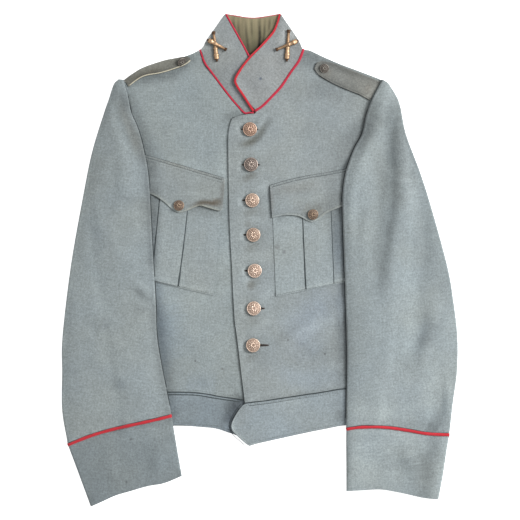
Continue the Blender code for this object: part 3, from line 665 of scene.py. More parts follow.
# %% [markdown]
# ## Wool
# The wool is a fine twill of mixed fibres: grey-green with lighter and darker hairs, so that it shows
# flecks close up. Broad patches drift between greenish and bluish grey, because old wool fades unevenly.
# A few spots are stains. The recipe takes two ways to place its pattern: the flecks and the twill use
# the map of the weave, and the drift and the stains use Object coordinates, which run over all panels.
# A little sheen stands for the nap, the short hairs that catch light at a low angle.

# %% Wool
WOOL_LOOK = (152, 161, 162)
TRIM_LOOK = (152, 159, 159)
# Stains show only on the upper side of the jacket, which starts between these two heights.
STAIN_FLOOR, STAIN_FULL = 2.6, 3.4
# Columns: x, y, radius, and how the wool is tinted there.
STAINS = (
    (2.3, 280.5, 3.2, (0.42, 0.47, 0.58)),
    (28.0, 20.0, 6.0, (0.72, 0.70, 0.70)),
    (38.8, 12.4, 4.0, (0.70, 0.68, 0.70)),
    (102.0, -145.7, 2.6, (0.55, 0.52, 0.52)),
    (45.0, -124.0, 2.4, (0.66, 0.64, 0.64)),
    (-99.0, -156.5, 2.2, (0.55, 0.53, 0.53)),
    (-57.0, -169.0, 2.4, (0.66, 0.62, 0.62)),
    (-102.8, -209.0, 2.2, (0.62, 0.60, 0.60)),
    (-198.4, -277.5, 3.0, (0.62, 0.60, 0.60)),
    (-205.2, -344.0, 2.6, (0.60, 0.58, 0.58)),
    (-250.3, -67.4, 1.6, (1.35, 1.32, 1.28)),
    (-241.8, -66.7, 1.3, (1.30, 1.28, 1.24)),
    (-17.0, 55.0, 9.0, (0.80, 0.78, 0.76)),
    (-12.0, -40.0, 9.0, (0.80, 0.77, 0.74)),
)


def wool(name, look):
    """Twill of mixed fibres, tinted by the cloth's own attribute, which carries painted light and shade."""
    mix = Recipe(name, roughness=0.9, specular_ior_level=0.25, sheen_weight=0.22, sheen_roughness=0.55)
    place = mix.add("TexCoord").outputs["Object"]
    weave = mix.add("UVMap", uv_map="Weave").outputs["UV"]
    base = np.array(dye(*look))
    drift = mix.graded(mix.speckle(place, 14.0, 3.0), 0.35, 0.65)
    color = mix.blend(drift, tuple(base * (1.01, 1.0, 0.98, 1.0)), tuple(base * (0.985, 1.0, 1.02, 1.0)))
    patches = mix.graded(mix.speckle(place, 60.0, 4.0, 0.6), 0.3, 0.7, 0.95, 1.05)
    color = mix.blend(1.0, color, patches, "MULTIPLY")
    flecks = mix.graded(mix.speckle(weave, 340.0, 3.0, 0.65), 0.35, 0.65, 0.84, 1.17)
    color = mix.blend(1.0, color, flecks, "MULTIPLY")
    for stretch in ((380.0, 90.0, 1.0), (90.0, 340.0, 1.0)):
        yarns = mix.add("Mapping", {"Vector": weave, "Scale": stretch}).outputs["Vector"]
        streaks = mix.graded(mix.speckle(yarns, 1.0, 2.0), 0.35, 0.65, 0.94, 1.06)
        color = mix.blend(1.0, color, streaks, "MULTIPLY")
    pale_hairs = mix.graded(mix.speckle(weave, 700.0, 1.0), 0.60, 0.74)
    color = mix.blend(pale_hairs, color, tuple(base * (1.4, 1.4, 1.4, 1.0)))
    flat_place = mix.add("VectorMath", {0: place, 1: (1.0, 1.0, 0.0)}, operation="MULTIPLY").outputs[0]
    height = mix.add("SeparateXYZ", {"Vector": place}).outputs["Z"]
    upper = mix.graded(height, STAIN_FLOOR * MM, STAIN_FULL * MM)
    for x, y, radius, tint in STAINS:
        spot = {0: flat_place, 1: (x * MM, y * MM, 0.0)}
        far = mix.add("VectorMath", spot, operation="DISTANCE").outputs["Value"]
        stained = mix.graded(far, radius * MM, 0.3 * radius * MM)
        stained = mix.add("Math", {0: stained, 1: upper}, operation="MULTIPLY").outputs[0]
        color = mix.blend(stained, color, mix.blend(1.0, color, (*tint, 1.0), "MULTIPLY"))
    tint = mix.add("Attribute", attribute_name="Tint").outputs["Color"]
    color = mix.blend(1.0, color, tint, "MULTIPLY")
    twill = {"Vector": weave, "Scale": 300.0, "Distortion": 1.5, "Detail": 1.0, "Detail Scale": 2.0}
    ribs = mix.add("TexWave", twill, wave_type="BANDS", bands_direction="DIAGONAL").outputs["Fac"]
    nap = mix.speckle(weave, 900.0, 3.0, 0.7)
    height = mix.add("Math", {0: ribs, 1: 0.5, 2: nap}, operation="MULTIPLY_ADD").outputs[0]
    return mix.finish(color, height, 0.32)


WOOL = wool("Grey-green wool", WOOL_LOOK)
TRIM_WOOL = wool("Browner trim wool", TRIM_LOOK)

# %% [markdown]
# ## Felt, lining and thread
# The piping is a folded strip of red felt: matt, a little fuzzy, and paler in patches where it is rubbed.
# The lining is khaki cotton with soft vertical creases, with painted shade in the creases and down inside
# the collar. Thread is the same grey-brown as the seams. Each gets its own short recipe.

# %% Felt, lining and thread


def felt(name, look):
    mix = Recipe(name, roughness=0.85, specular_ior_level=0.2, sheen_weight=0.3, sheen_roughness=0.5)
    place = mix.add("TexCoord").outputs["Object"]
    base = np.array(dye(*look))
    worn = mix.graded(mix.speckle(place, 60.0, 3.0), 0.35, 0.7)
    color = mix.blend(worn, tuple(base), tuple(base * (1.06, 1.3, 1.25, 1.0)))
    fuzz = mix.graded(mix.speckle(place, 900.0, 3.0, 0.7), 0.3, 0.7, 0.78, 1.2)
    color = mix.blend(1.0, color, fuzz, "MULTIPLY")
    return mix.finish(color, mix.speckle(place, 700.0, 4.0, 0.7), 0.5)


def cotton(name, look):
    mix = Recipe(name, roughness=0.8, specular_ior_level=0.3, sheen_weight=0.15)
    weave = mix.add("UVMap", uv_map="Weave").outputs["UV"]
    base = np.array(dye(*look))
    streaks = mix.add("Mapping", {"Vector": weave, "Scale": (160.0, 14.0, 1.0)}).outputs["Vector"]
    shade = mix.graded(mix.speckle(streaks, 1.0, 3.0), 0.3, 0.7)
    color = mix.blend(shade, tuple(base * (0.82, 0.86, 0.8, 1.0)), tuple(base * (1.16, 1.1, 1.08, 1.0)))
    flecks = mix.graded(mix.speckle(weave, 900.0, 2.0, 0.7), 0.3, 0.7, 0.85, 1.15)
    color = mix.blend(1.0, color, flecks, "MULTIPLY")
    tint = mix.add("Attribute", attribute_name="Tint").outputs["Color"]
    color = mix.blend(1.0, color, tint, "MULTIPLY")
    return mix.finish(color, mix.speckle(weave, 1200.0, 2.0, 0.6), 0.2)


def thread(name, look, roughness=0.75):
    mix = Recipe(name, roughness=roughness, specular_ior_level=0.3)
    place = mix.add("TexCoord").outputs["Object"]
    base = np.array(dye(*look))
    ply = mix.graded(mix.speckle(place, 1600.0, 2.0), 0.3, 0.7)
    color = mix.blend(ply, tuple(base * (0.7, 0.7, 0.7, 1.0)), tuple(base * (1.25, 1.25, 1.25, 1.0)))
    return mix.finish(color, ply, 0.15)


RED_FELT = felt("Red piping felt", (210, 46, 58))
# A darker, more crimson copy of the red felt, as painted shade on the neck seams and the right collar edge.
SHADED_RED_FELT = felt("Shaded piping felt", (198, 44, 68))
FADED_FELT = felt("Faded piping felt", (196, 112, 112))
LINING = cotton("Khaki lining", (150, 142, 112))
SEAM_THREAD = thread("Seam thread", (92, 98, 98))
HOLE_THREAD = thread("Buttonhole thread", (92, 84, 78))
HOLE_SHADE = thread("Shade inside a buttonhole", (48, 44, 44), 0.95)
SEAM_SHADE = thread("Shade inside a seam", (74, 82, 84), 0.95)
PALE_EDGE = thread("Rubbed pale edge", (214, 208, 186))

# %% [markdown]
# ## Dressing a piece
# Every finished piece gets its material and rides on the frame's body, and the plain solids that it
# stands for are hidden. Where it is a sheet of cloth, the size of its cut goes into a list. The area is
# measured on the flat grid before the cloth gets its thickness.

# %% Dressing
SHEETS = []


def dress(piece, material, nodes=()):
    """Gives a piece its material, puts it on the frame's body and hides the plain parts that it stands for.
    """
    piece.data.materials.clear()
    piece.data.materials.append(material)
    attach(piece, "root")
    if nodes:
        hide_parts(*nodes)
    return piece


def cut_of(places):
    """The width, length and area of a grid of places, in millimetres. Width and length are those of the
    smallest strip of cloth that holds the cut, however it is turned."""
    turns = np.radians(np.arange(0, 180, 3))
    spans = []
    for turn in turns:
        across, along = (math.cos(turn), math.sin(turn)), (-math.sin(turn), math.cos(turn))
        spans.append((np.ptp(places @ across), np.ptp(places @ along)))
    width, length = min(spans, key=lambda span: span[0] * span[1])
    first, second = places[1:, 1:] - places[:-1, :-1], places[1:, :-1] - places[:-1, 1:]
    area = np.abs(first[..., 0] * second[..., 1] - first[..., 1] * second[..., 0]).sum() / 2
    return width, length, area


def declare(piece, cut):
    """Notes the piece as a sheet of cloth in a list, with how large its cut is."""
    width, length, area = cut
    SHEETS.append((piece.name, round(width), round(length), round(area / 100)))


def cloth(
    node, cut, size, under, lift=None, tint=None, thickness=2.2, step=3.0, reach=4.5, grain=0.0,
    material=WOOL, inset=0.0, rounding=ROUNDING, relax=False,
):
    """A panel of cloth between its cut edges, laid on the map of what is under it."""
    u, v = np.meshgrid(stops(size[0], step), stops(size[1], step))
    if inset:
        span = np.linalg.norm(cut(1.0 + 0 * v, v) - cut(0 * v, v), axis=-1)
        share = np.minimum(inset / span, 0.3)
        u = share + u * (1 - 2 * share)
    places = relaxed(cut(u, v), u, v, *size) if relax else cut(u, v)
    heights = under.felt(places, reach) if under else np.zeros(u.shape)
    heights = heights + (GAP if heights.max() > 0 else 0.0)
    if lift:
        heights = heights + np.maximum(lift(places, u, v), 0.0)
    piece = wall(grid(node + "_cloth", places, heights), thickness, rounding=rounding)
    mark_cloth(piece, grain, tint or tinting((1.0, 1.0, 1.0), shades=()))
    dress(piece, material, [node])
    declare(piece, cut_of(places))
    return piece


# %% [markdown]
# ## Cords
# A piping lies in a seam or along an edge. A curve with a small oval as its bevel makes such a cord, and
# its points wander a little and change their thickness, because hand-folded felt is never even. The
# curve becomes a mesh before anything else is said about it.

# %% Cords
CORD_STEP = 4.0


def cord_mesh(name, rows, radius, on, proud=0.5, flatness=0.8, seed=1.0, swell=(1.0, 1.0)):
    """A cord along a chain, sunk beside the cloth on the map and standing a share of its radius proud."""
    chain = smooth(rows)
    count = max(6, round(reached(chain)[-1] / CORD_STEP))
    places = along(chain, np.linspace(0, 1, count + 1))
    wander = waves(places, 22.0, seed)
    thick = radius * (1 + 0.12 * waves(places, 13.0, seed + 4)) * np.linspace(*swell, count + 1)
    side = np.gradient(places, axis=0)
    side = np.stack([-side[:, 1], side[:, 0]], axis=1) / np.linalg.norm(side, axis=1, keepdims=True)
    places = places + 0.25 * wander[:, None] * side
    heights = on.felt(places, radius + 1.5) - (1 - proud) * radius * flatness
    heights = np.maximum(heights, radius * flatness + 0.1)
    heights = np.convolve(np.pad(heights, 2, "edge"), np.ones(5) / 5, "valid")
    oval = bpy.data.curves.new("oval", "CURVE")
    ring = oval.splines.new("POLY")
    ring.points.add(11)
    for index, point in enumerate(ring.points):
        turn = index * math.tau / 12
        point.co = (math.cos(turn) * MM, math.sin(turn) * flatness * MM, 0.0, 1.0)
    ring.use_cyclic_u = True
    oval_object = link("oval", oval)
    path = bpy.data.curves.new(name, "CURVE")
    path.dimensions = "3D"
    path.twist_mode = "Z_UP"
    path.bevel_mode = "OBJECT"
    path.bevel_object = oval_object
    path.use_fill_caps = True
    spline = path.splines.new("POLY")
    spline.points.add(count)
    for point, (x, y), z, r in zip(spline.points, places, heights, thick):
        point.co = (x * MM, y * MM, z * MM, 1.0)
        point.radius = r
    piece = applied(link(name, path))
    bpy.data.objects.remove(oval_object)
    form = bmesh.new()
    form.from_mesh(piece.data)
    bmesh.ops.remove_doubles(form, verts=form.verts, dist=0.00001)
    bmesh.ops.recalc_face_normals(form, faces=form.faces)
    form.to_mesh(piece.data)
    form.free()
    piece.data.shade_smooth()
    return piece


def cord(name, rows, radius, on, material=RED_FELT, nodes=(), slot="piping", **shape):
    """A finished cord."""
    return dress(cord_mesh(name, rows, radius, on, **shape), material, nodes)


# %% [markdown]
# ## Grooves
# Where two layers of cloth meet, the eye sees a thin dark groove: thread and shade between the folded
# edges. At this size a render would lose it, so a fine dark cord of painted shade lies in each groove. It
# is a very thin cord at the foot of the upper edge, and all the grooves of one place are joined into one
# piece.

# %% Grooves


def joined(name, pieces):
    """Pieces joined into one mesh, with their maps and tints."""
    with bpy.context.temp_override(active_object=pieces[0], selected_editable_objects=pieces):
        bpy.ops.object.join()
    pieces[0].name = name
    return pieces[0]


def grooves(name, on, *lines):
    """Dark cords of painted shade along lines. A line is a chain, its radius and how it swells to its end."""
    parts = []
    for number, (chain, radius, *swell) in enumerate(lines):
        shape = {"proud": 0.6, "flatness": 0.7, "seed": 20.0 + number, "swell": (1.0, *swell, 1.0)[:2]}
        parts.append(cord_mesh(f"{name}_{number}", chain, radius, on, **shape))
    return dress(joined(name, parts), SEAM_SHADE)


def part_of(chain, start, end):
    """The part of a chain between two shares of its length, with points far enough apart to be smoothed."""
    count = max(3, round(reached(chain)[-1] * (end - start) / 12))
    return along(chain, np.linspace(start, end, count))


# %% [markdown]
# ## The back
# The back is the largest panel and the lowest. It lies flat on the table, so its underside is plane, and
# nearly all of it is hidden by the fronts. It still has its real outline, because its edges show at the
# hem, the neck and from below. The back half of the waistband and of the collar lie with it.

# %% Seam lines
RIGHT_SHOULDER = ((-209, 276), (-183, 291.5), (-152, 303.5), (-107, 318.5), (-92, 325.5))
LEFT_SHOULDER = ((69.5, 326), (79, 324.5), (97.5, 316), (125.5, 304), (153.5, 293.5), (181, 283), (190, 279))
RIGHT_ARMHOLE = (
    (-209, 276), (-202, 253.5), (-197, 228.5), (-197, 204.5), (-205.5, 175), (-222, 140), (-243.5, 106),
)
LEFT_ARMHOLE = ((190, 279), (173, 245.5), (165, 223), (161, 192), (166, 155), (184.5, 121), (221.5, 101))
RIGHT_SIDE = ((-243.5, 106), (-237, 45), (-221.5, -62), (-206, -166), (-200, -204.5))
LEFT_SIDE = ((221.5, 101), (215.5, 43.5), (200, -62), (184.5, -167.5), (178, -195.5))
BACK_WAIST = ((-200, -204.5), (-100, -206.5), (-10, -207), (90, -203), (178, -195.5))
BACK_HEM = ((-195.5, -256), (-100, -258), (-15, -262), (90, -259), (176.5, -254))
BACK_NECK = ((-88, 326), (-60, 309), (-10, 302), (40, 309), (68.5, 326))
RIGHT_COLLAR_FOLD = ((-87.5, 327), (-82, 340), (-70, 357), (-53, 381))
LEFT_COLLAR_FOLD = ((67.5, 327), (62.5, 338), (53, 353), (40.5, 371), (34, 381))
BACK_COLLAR_TOP = ((-51.5, 381.8), (-9.5, 376), (32.5, 381.8))

# %% [markdown]
# The back is one panel with its band below it and its collar above it. All three lie on the table. Its
# armholes are let out a little, as a seam allowance is, so that from behind no gap opens between the
# back and the sleeve that is sewn to it.

# %% Back pieces
ALLOWANCE = 8.0  # how far the back goes on under a sleeve


def let_out(rows, amount):
    """An armhole from its lower end up, moved out under the sleeve between its two ends."""
    chain = smooth(rows)[::-1]
    share = np.clip((chain[:, 1] - chain[0, 1]) / 40, 0, 1) * np.clip((chain[-1, 1] - chain[:, 1]) / 10, 0, 1)
    return chain + np.outer(share, (amount, 0))


neck_below = smooth(BACK_NECK) - (0, 0.6)
back_cut = patch(
    edge((smooth(RIGHT_SIDE[::-1]), 6), (let_out(RIGHT_ARMHOLE, -ALLOWANCE), 4)),
    edge((smooth(LEFT_SIDE[::-1]), 6), (let_out(LEFT_ARMHOLE, ALLOWANCE), 4)),
    curve(BACK_WAIST),
    edge((smooth(RIGHT_SHOULDER), 5), (neck_below, 6), (smooth(LEFT_SHOULDER), 5)),
)
back = cloth("back", back_cut, (430, 500), None, step=7.0)
band_cut = patch(
    line(BACK_HEM[0], (-200, -205.1)), line(BACK_HEM[-1], (178, -196.1)),
    curve(BACK_HEM), edge((smooth(BACK_WAIST) - (0, 0.6), 1)),
)
back_band = cloth("waistband_back", band_cut, (375, 55), None, step=6.0)
collar_cut = patch(
    curve(RIGHT_COLLAR_FOLD), curve(LEFT_COLLAR_FOLD), curve(BACK_NECK), curve(BACK_COLLAR_TOP),
)
back_collar = cloth("collar_back", collar_cut, (120, 65), None, step=3.0)
heap.lay(back, back_band, back_collar)
print("back laid, highest point in millimetres:", round(heap.heights.max(), 2))

# %% [markdown]
# ## The lining inside the collar
# Between the two halves of the collar the back of its inside shows, faced with khaki cotton. It has been
# folded often, so it has soft vertical creases. They are worked out by a wave across the width that
# noise makes uneven, and painted shade darkens the cotton towards the neck, down inside the collar, and
# in the creases.

# %% Collar lining
# Painted shade in the creases of the lining: the points of the stroke, its half width, and how dark it is.
LINING_CREASE_SHADOWS = (
    (((-41, 374), (-38, 355), (-33, 336)), 5.5, 0.60), (((-32, 373), (-31, 350), (-30, 328)), 3.4, 0.50),
    (((-21, 372), (-19, 345), (-15, 318)), 3.4, 0.55), (((-12, 374), (-11, 345)), 2.8, 0.45),
    (((0, 372), (1, 345), (-2, 312)), 3.8, 0.80), (((9, 373), (8, 350), (5, 328)), 3.0, 0.55),
    (((17, 375), (15, 355)), 2.8, 0.45), (((24, 376), (22, 364)), 2.6, 0.35),
    (((-14, 326), (-3, 316), (6, 330)), 14.0, 0.45), (((-18, 346), (-4, 330), (8, 348)), 12.0, 0.2),
)


def lining_lift(places, u, v):
    creases = np.sin(places[..., 0] / 5.2 + 1.5 * waves(places, 40.0, 3.0)) * 0.55
    return 0.8 + (creases + 0.5 * waves(places, 12.0, 8.0)) * bulge(u)


def lining_painted_shade(places):
    # Painted shade: darker towards the neck, down inside the collar, and in stripes along the creases.
    depth = np.clip((places[:, 1] - 312) / 60, 0, 1)[:, None]
    folds = 1 - 0.22 * np.clip(np.sin(places[:, 0] / 3.4 + 3.0 * waves(places * (1, 0.3), 30.0, 5.0)), 0, 1)
    creased = sum(dark * stroke(places, rows, half) for rows, half, dark in LINING_CREASE_SHADOWS)
    folds = (folds * (1 - creased))[:, None]
    low, high = np.array((0.32, 0.36, 0.33)), np.array((1.10, 1.09, 1.14))
    return (low * (1 - depth) + high * depth) * folds


lining_low = smooth(BACK_NECK) + (0, 1.2)
lining_cut = patch(
    edge((beside(smooth(RIGHT_COLLAR_FOLD), -1.2), 1)), edge((beside(smooth(LEFT_COLLAR_FOLD), 1.2), 1)),
    edge((lining_low, 1)), edge((smooth(BACK_COLLAR_TOP) - (0, 1.4), 1)),
)
lining = cloth(
    "collar_lining", lining_cut, (115, 65), heap, lining_lift, lining_painted_shade, thickness=1.2, step=1.6,
    material=LINING, rounding=0.5,
)
heap.lay(lining)
back_cord = cord(
    "back_collar_piping", part_of(smooth(BACK_COLLAR_TOP), 0, 1) - (0, 0.7), 1.1, heap, FADED_FELT, proud=0.2,
    seed=9.0,
)
heap.lay(back_cord)

# %% [markdown]
# ## The fronts
# The two fronts carry most of what is seen. The left one laps over the right one and ends in a fold
# that holds the buttonholes. Between two buttonholes the cloth rises a little and at each of them it is
# drawn down, which is what makes a buttoned front look worn. Longer folds are strokes from a table.

# %% Tables of the fronts
RIGHT_WAIST = ((-200, -204.5), (-143, -204.5), (-97.5, -205.5), (-62.5, -211), (-22.5, -216.5), (26.5, -223))
LEFT_WAIST = ((-22, -221.5), (11.5, -217.5), (54.5, -211), (98.5, -204.5), (135.5, -199), (178, -195.5))
LEFT_FRONT_EDGE = (
    (-22, -221.5), (-34, -121), (-38, -88), (-42, -9.5), (-45.5, 62), (-46.8, 127),
    (-47.5, 186), (-45.5, 207), (-41.5, 219.5),
)
LEFT_FRONT_TOP = ((-41.5, 219.5), (-31, 223.8), (-16, 226), (-6, 226.6))
RIGHT_FRONT_EDGE = ((26.5, -223), (26.5, -62), (21.5, 93), (18.5, 217))
RIGHT_HEM = (
    (-195.5, -256), (-133.5, -255.5), (-97.5, -258), (-67, -261), (-45.5, -267.5), (-32, -274), (-15.5, -285),
)
RIGHT_BAND_END = ((-15.5, -285), (-1.5, -269.5), (4.5, -256), (0, -234), (-8, -220))
LEFT_HEM = ((-15, -288), (5, -282.5), (54.5, -272), (98.5, -262.8), (134, -256.5), (176.5, -254))
LEFT_BAND_TAB = (
    (-15, -288), (-24, -281.5), (-39, -267), (-43, -258), (-40, -247), (-30, -230.5), (-22, -223),
)
RIGHT_NECK = ((-91.5, 326), (-84, 305.5), (-73.5, 291), (-49, 258), (-24.5, 229.5), (-15.5, 225.5))
LEFT_NECK = ((-5, 231.5), (6, 239), (21.5, 255), (34.5, 269.5), (47.5, 288.5), (62, 309), (69, 327))
# Folds: the points of the stroke, its half width and its height.
RIGHT_FRONT_FOLDS = (
    (((-175, 240), (-130, 200), (-80, 185)), 30, 0.8),
    (((-150, -75), (-110, -120), (-60, -150)), 26, 0.9),
    (((-168, -40), (-160, -120), (-152, -190)), 12, -1.0),
    (((-190, -199), (-120, -201), (-40, -211)), 6, 0.9),
)
LEFT_FRONT_FOLDS = (
    (((120, -56), (76, -95), (28, -134)), 17, -1.8),
    (((138, -66), (92, -120), (48, -170)), 15, 1.4),
    (((20, -92), (70, -66), (112, -40)), 16, 1.2),
    (((70, -146), (90, -156)), 14, -0.9),
    (((14, 219), (0, 200), (-16, 180)), 6, -1.1),
    (((40, 225), (15, 205), (-2, 172)), 10, 0.7),
    (((150, 215), (120, 190), (60, 180)), 28, 0.9),
    (((-20, -214), (60, -203), (150, -190)), 6, 1.3),
)
# The front buttons' heights up the jacket, from the neck down.
BUTTON_ROWS = (202.5, 147.5, 92.5, 39.0, -16.5, -75.0, -132.0)
BODY_PUFF = 1.4
SLOT = 1.9  # from the middle of a piping to the cut edge beside it

# %% [markdown]
# A lift is a function that says how high a panel stands over what it lies on. A panel rises softly in its
# middle, where the jacket holds some air, and dips and ridges are added to that.

# %% Lifts of the fronts


def button_pull(places):
    """How the placket rises between the buttons and is drawn down at each."""
    near_edge = np.clip(1 - np.abs(places[..., 0] + 12) / 42, 0, 1) ** 1.5
    middle = np.interp(places[..., 1], BUTTON_ROWS[::-1], np.arange(len(BUTTON_ROWS))[::-1])
    return (0.35 - 0.65 * np.cos(math.tau * middle)) * near_edge


# The trough that the collar pulls into the placket, around the first button.
NECK_TROUGH = ((14, 216), (6, 203), (-2, 191), (-14, 182), (-28, 177))


def button_folds():
    """Under each button a soft ridge and then a trough, stronger near the neck."""
    folds = [(NECK_TROUGH, 9, -1.7), (((10, 228), (2, 212), (-4, 203)), 8, 0.9)]
    for number, y in enumerate(BUTTON_ROWS):
        x, strength = -13 + 1.2 * number, 1.0 - 0.11 * number
        folds.append((((x - 26, y - 16), (x - 2, y - 11), (x + 22, y - 6)), 9, 1.1 * strength))
        folds.append((((x - 26, y - 30), (x - 2, y - 25), (x + 20, y - 20)), 9, -0.8 * strength))
    return tuple(folds)


def front_lift(folds, seed, placket=False):
    def lift(places, u, v):
        height = BODY_PUFF * bulge(u) * bulge(v) + relief(places, folds)
        height = height + 0.55 * waves(places, 75.0, seed) * bulge(u) + 0.16 * waves(places, 26.0, seed + 3)
        return height + button_pull(places) if placket else height

    return lift


# %% [markdown]
# The bands below the fronts are sewn to them edge to edge. Both are worked out from the same map before
# either is laid, so that they meet at one height. The wearer's right band is darker and bluer than the
# left, with painted shade, and so is the strip of cloth beside each sleeve, where the light hardly reaches.
# The tab casts a painted shadow on the right band.

# %% Right front and band
# Painted shade on the strip of cloth beside each sleeve, where the light hardly reaches.
SHADE_BESIDE_SLEEVE = (0.80, 0.82, 0.86)
RIGHT_FRONT_TINTS = (
    (((-140, -60), (-130, -120), (-120, -160)), 34, (0.97, 1.0, 1.05)),
    (((-160, -60), (-150, -130), (-160, -200)), 28, (0.95, 0.98, 1.03)),
    (((-120, -190), (-60, -198)), 30, (0.96, 0.98, 1.02)),
    (((-165, 190), (-152, 100), (-157, -60), (-146, -190)), 13, SHADE_BESIDE_SLEEVE),
)
right_neck = beside(smooth(RIGHT_NECK), -SLOT)
right_front_cut = patch(
    edge((smooth(RIGHT_SIDE[::-1]), 10), (smooth(RIGHT_ARMHOLE[::-1]), 6)),
    curve(RIGHT_FRONT_EDGE),
    curve(RIGHT_WAIST),
    edge(
        (np.vstack([smooth(RIGHT_SHOULDER)[:-1], right_neck[0]]), 4), (right_neck, 5),
        (np.array([right_neck[-1], RIGHT_FRONT_EDGE[-1]]), 1),
    ),
)
ground = heap.copy()
right_front = cloth(
    "right_front", right_front_cut, (240, 500), ground, front_lift(RIGHT_FRONT_FOLDS, 2.0),
    tinting((1.0, 1.01, 1.01), RIGHT_FRONT_TINTS), step=2.6, grain=1.0, reach=10.0, relax=True,
)
right_waist_below = smooth(RIGHT_WAIST) - (0, 0.6)
right_waist_below = right_waist_below[right_waist_below[:, 0] < -8]
band_end = np.vstack([smooth(RIGHT_BAND_END)[:-1], right_waist_below[-1]])
right_band_cut = patch(
    line(RIGHT_HEM[0], right_waist_below[0]), edge((band_end, 1)),
    curve(RIGHT_HEM), edge((right_waist_below, 1)),
)


# Painted shade: the band darker and bluer, the tab's painted shadow, and a dark spot where the seams meet.
RIGHT_BAND_TINTS = tinting((0.82, 0.86, 0.92), (
    (((-26, -224), (-36, -236), (-43, -250), (-43, -262), (-36, -272)), 23, (0.40, 0.41, 0.44)),
    (((-20, -222), (-44, -222)), 10, (0.62, 0.62, 0.64)),
))


def band_lift(places, u, v):
    return 0.9 * bulge(v) + 0.5 * waves(places, 45.0, 6.0) * bulge(u)


right_band = cloth(
    "waistband_right", right_band_cut, (190, 60), ground, band_lift,
    RIGHT_BAND_TINTS, step=2.2,
)
heap.lay(right_front, right_band)

# %% [markdown]
# The left front lies on the right one, so it comes after it. The buttons get small strokes of painted
# light and shade: painted shade in the trough below each button, and a painted highlight on the side
# towards the front edge.

# %% Left front and band
# Round the buttons: painted shade below them, and painted highlights on the side towards the front edge.
# Columns: x and y of the button's middle, and how dark the painted shade below it is.
SHADOWS_BELOW_BUTTONS = (
    (-14, 202.5, 0.0), (-12.5, 147.5, 0.30), (-10.5, 92.5, 0.16), (-8.5, 39, 0.16), (-6.5, -16.5, 0.18),
    (-8, -75, 0.10), (-9.5, -132, 0.14),
)
LIGHT_AND_SHADE_AROUND_BUTTONS = [
    (NECK_TROUGH, 9, (0.60, 0.58, 0.54)), (((-30, 178), (-14, 182), (-2, 190)), 8, (0.78, 0.75, 0.70)),
    (((8, 226), (0, 211)), 8, (1.14, 1.14, 1.14)),
]
for x, y, dark in SHADOWS_BELOW_BUTTONS:
    LIGHT_AND_SHADE_AROUND_BUTTONS.append((((x - 14, y + 6), (x - 16, y - 2), (x - 13, y - 9)), 9, (1.34, 1.34, 1.34)))
    shade_below = ((x - 14, y - 25), (x - 4, y - 19), (x + 10, y - 13))
    LIGHT_AND_SHADE_AROUND_BUTTONS.append((shade_below, 10, (1 - dark, 1 - 1.1 * dark, 1 - 1.25 * dark)))
# Painted light along the front edge and by the neck, painted shade on the upper chest and by the sleeve.
LEFT_FRONT_TINTS = (
    (((110, -60), (60, -95), (100, -150)), 40, (0.98, 1.0, 1.045)),
    *LIGHT_AND_SHADE_AROUND_BUTTONS,
    (((-36, 60), (-30, -60), (-18, -200)), 20, (1.10, 1.10, 1.10)),
    (((4, 212), (-6, 196), (-12, 190)), 6, (1.12, 1.12, 1.12)),
    (((24, -180), (80, -185), (130, -180)), 26, (1.02, 1.04, 1.08)),
    (((120, -40), (80, -100), (40, -160)), 44, (1.0, 1.01, 1.05)),
    (((60, 220), (110, 190), (100, 150)), 50, (0.93, 0.93, 0.93)),
    (((168, 215), (152, 170), (134, 130), (126, 60), (129, -60), (133, -200)), 16, SHADE_BESIDE_SLEEVE),
    (((34, 100), (30, 0)), 14, (1.03, 1.03, 1.04)),
)
TAB_RIM = ((-24, -227), (-31, -234), (-39, -248), (-41, -258), (-37, -266), (-14, -285), (6, -280))
# Paler than the right band with painted light; a pale rim on the tab, painted shade on it and by the sleeve.
LEFT_BAND_TINTS = tinting((1.04, 1.06, 1.10), (
    (TAB_RIM, 3.5, (1.24, 1.22, 1.18)), (((-10, -226), (-24, -240), (-24, -262)), 18, (0.95, 0.93, 0.91)),
    (((135, -200), (135, -256)), 13, SHADE_BESIDE_SLEEVE),
))
left_neck = beside(smooth(LEFT_NECK), -SLOT)
left_front_cut = patch(
    curve(LEFT_FRONT_EDGE),
    edge((smooth(LEFT_SIDE[::-1]), 10), (smooth(LEFT_ARMHOLE[::-1]), 6)),
    curve(LEFT_WAIST),
    edge(
        (np.vstack([smooth(LEFT_FRONT_TOP)[:-1], left_neck[0]]), 2), (left_neck, 5),
        (np.vstack([left_neck[-1], smooth(LEFT_SHOULDER)[1:]]), 4),
    ),
)
under_left = heap.copy()
left_front = cloth(
    "left_front", left_front_cut, (240, 500), under_left,
    front_lift((*LEFT_FRONT_FOLDS, *button_folds()), 5.0, placket=True),
    tinting((0.995, 0.985, 0.985), LEFT_FRONT_TINTS), thickness=2.1, step=2.6, grain=-1.0, reach=24.0,
    relax=True,
)
left_waist_below = smooth(LEFT_WAIST) - (0, 0.6)
left_band_cut = patch(
    edge((np.vstack([smooth(LEFT_BAND_TAB)[:-1], left_waist_below[0]]), 1)),
    line(LEFT_HEM[-1], left_waist_below[-1]), curve(LEFT_HEM), edge((left_waist_below, 1)),
)
left_band = cloth(
    "waistband_left", left_band_cut, (200, 60), under_left, band_lift,
    LEFT_BAND_TINTS, step=2.2, reach=24.0,
)
grooves(
    "front_edge_groove", under_left, (part_of(beside(smooth(LEFT_FRONT_EDGE), 0.6), 0, 0.55), 0.45, 0.5),
    (part_of(beside(smooth(LEFT_FRONT_TOP), 0.6), 0, 0.96), 0.75),
    (part_of(beside(smooth(LEFT_BAND_TAB), -0.4), 0.1, 0.95), 0.7),
)
print("fronts and bands:", SHEETS[-4:])

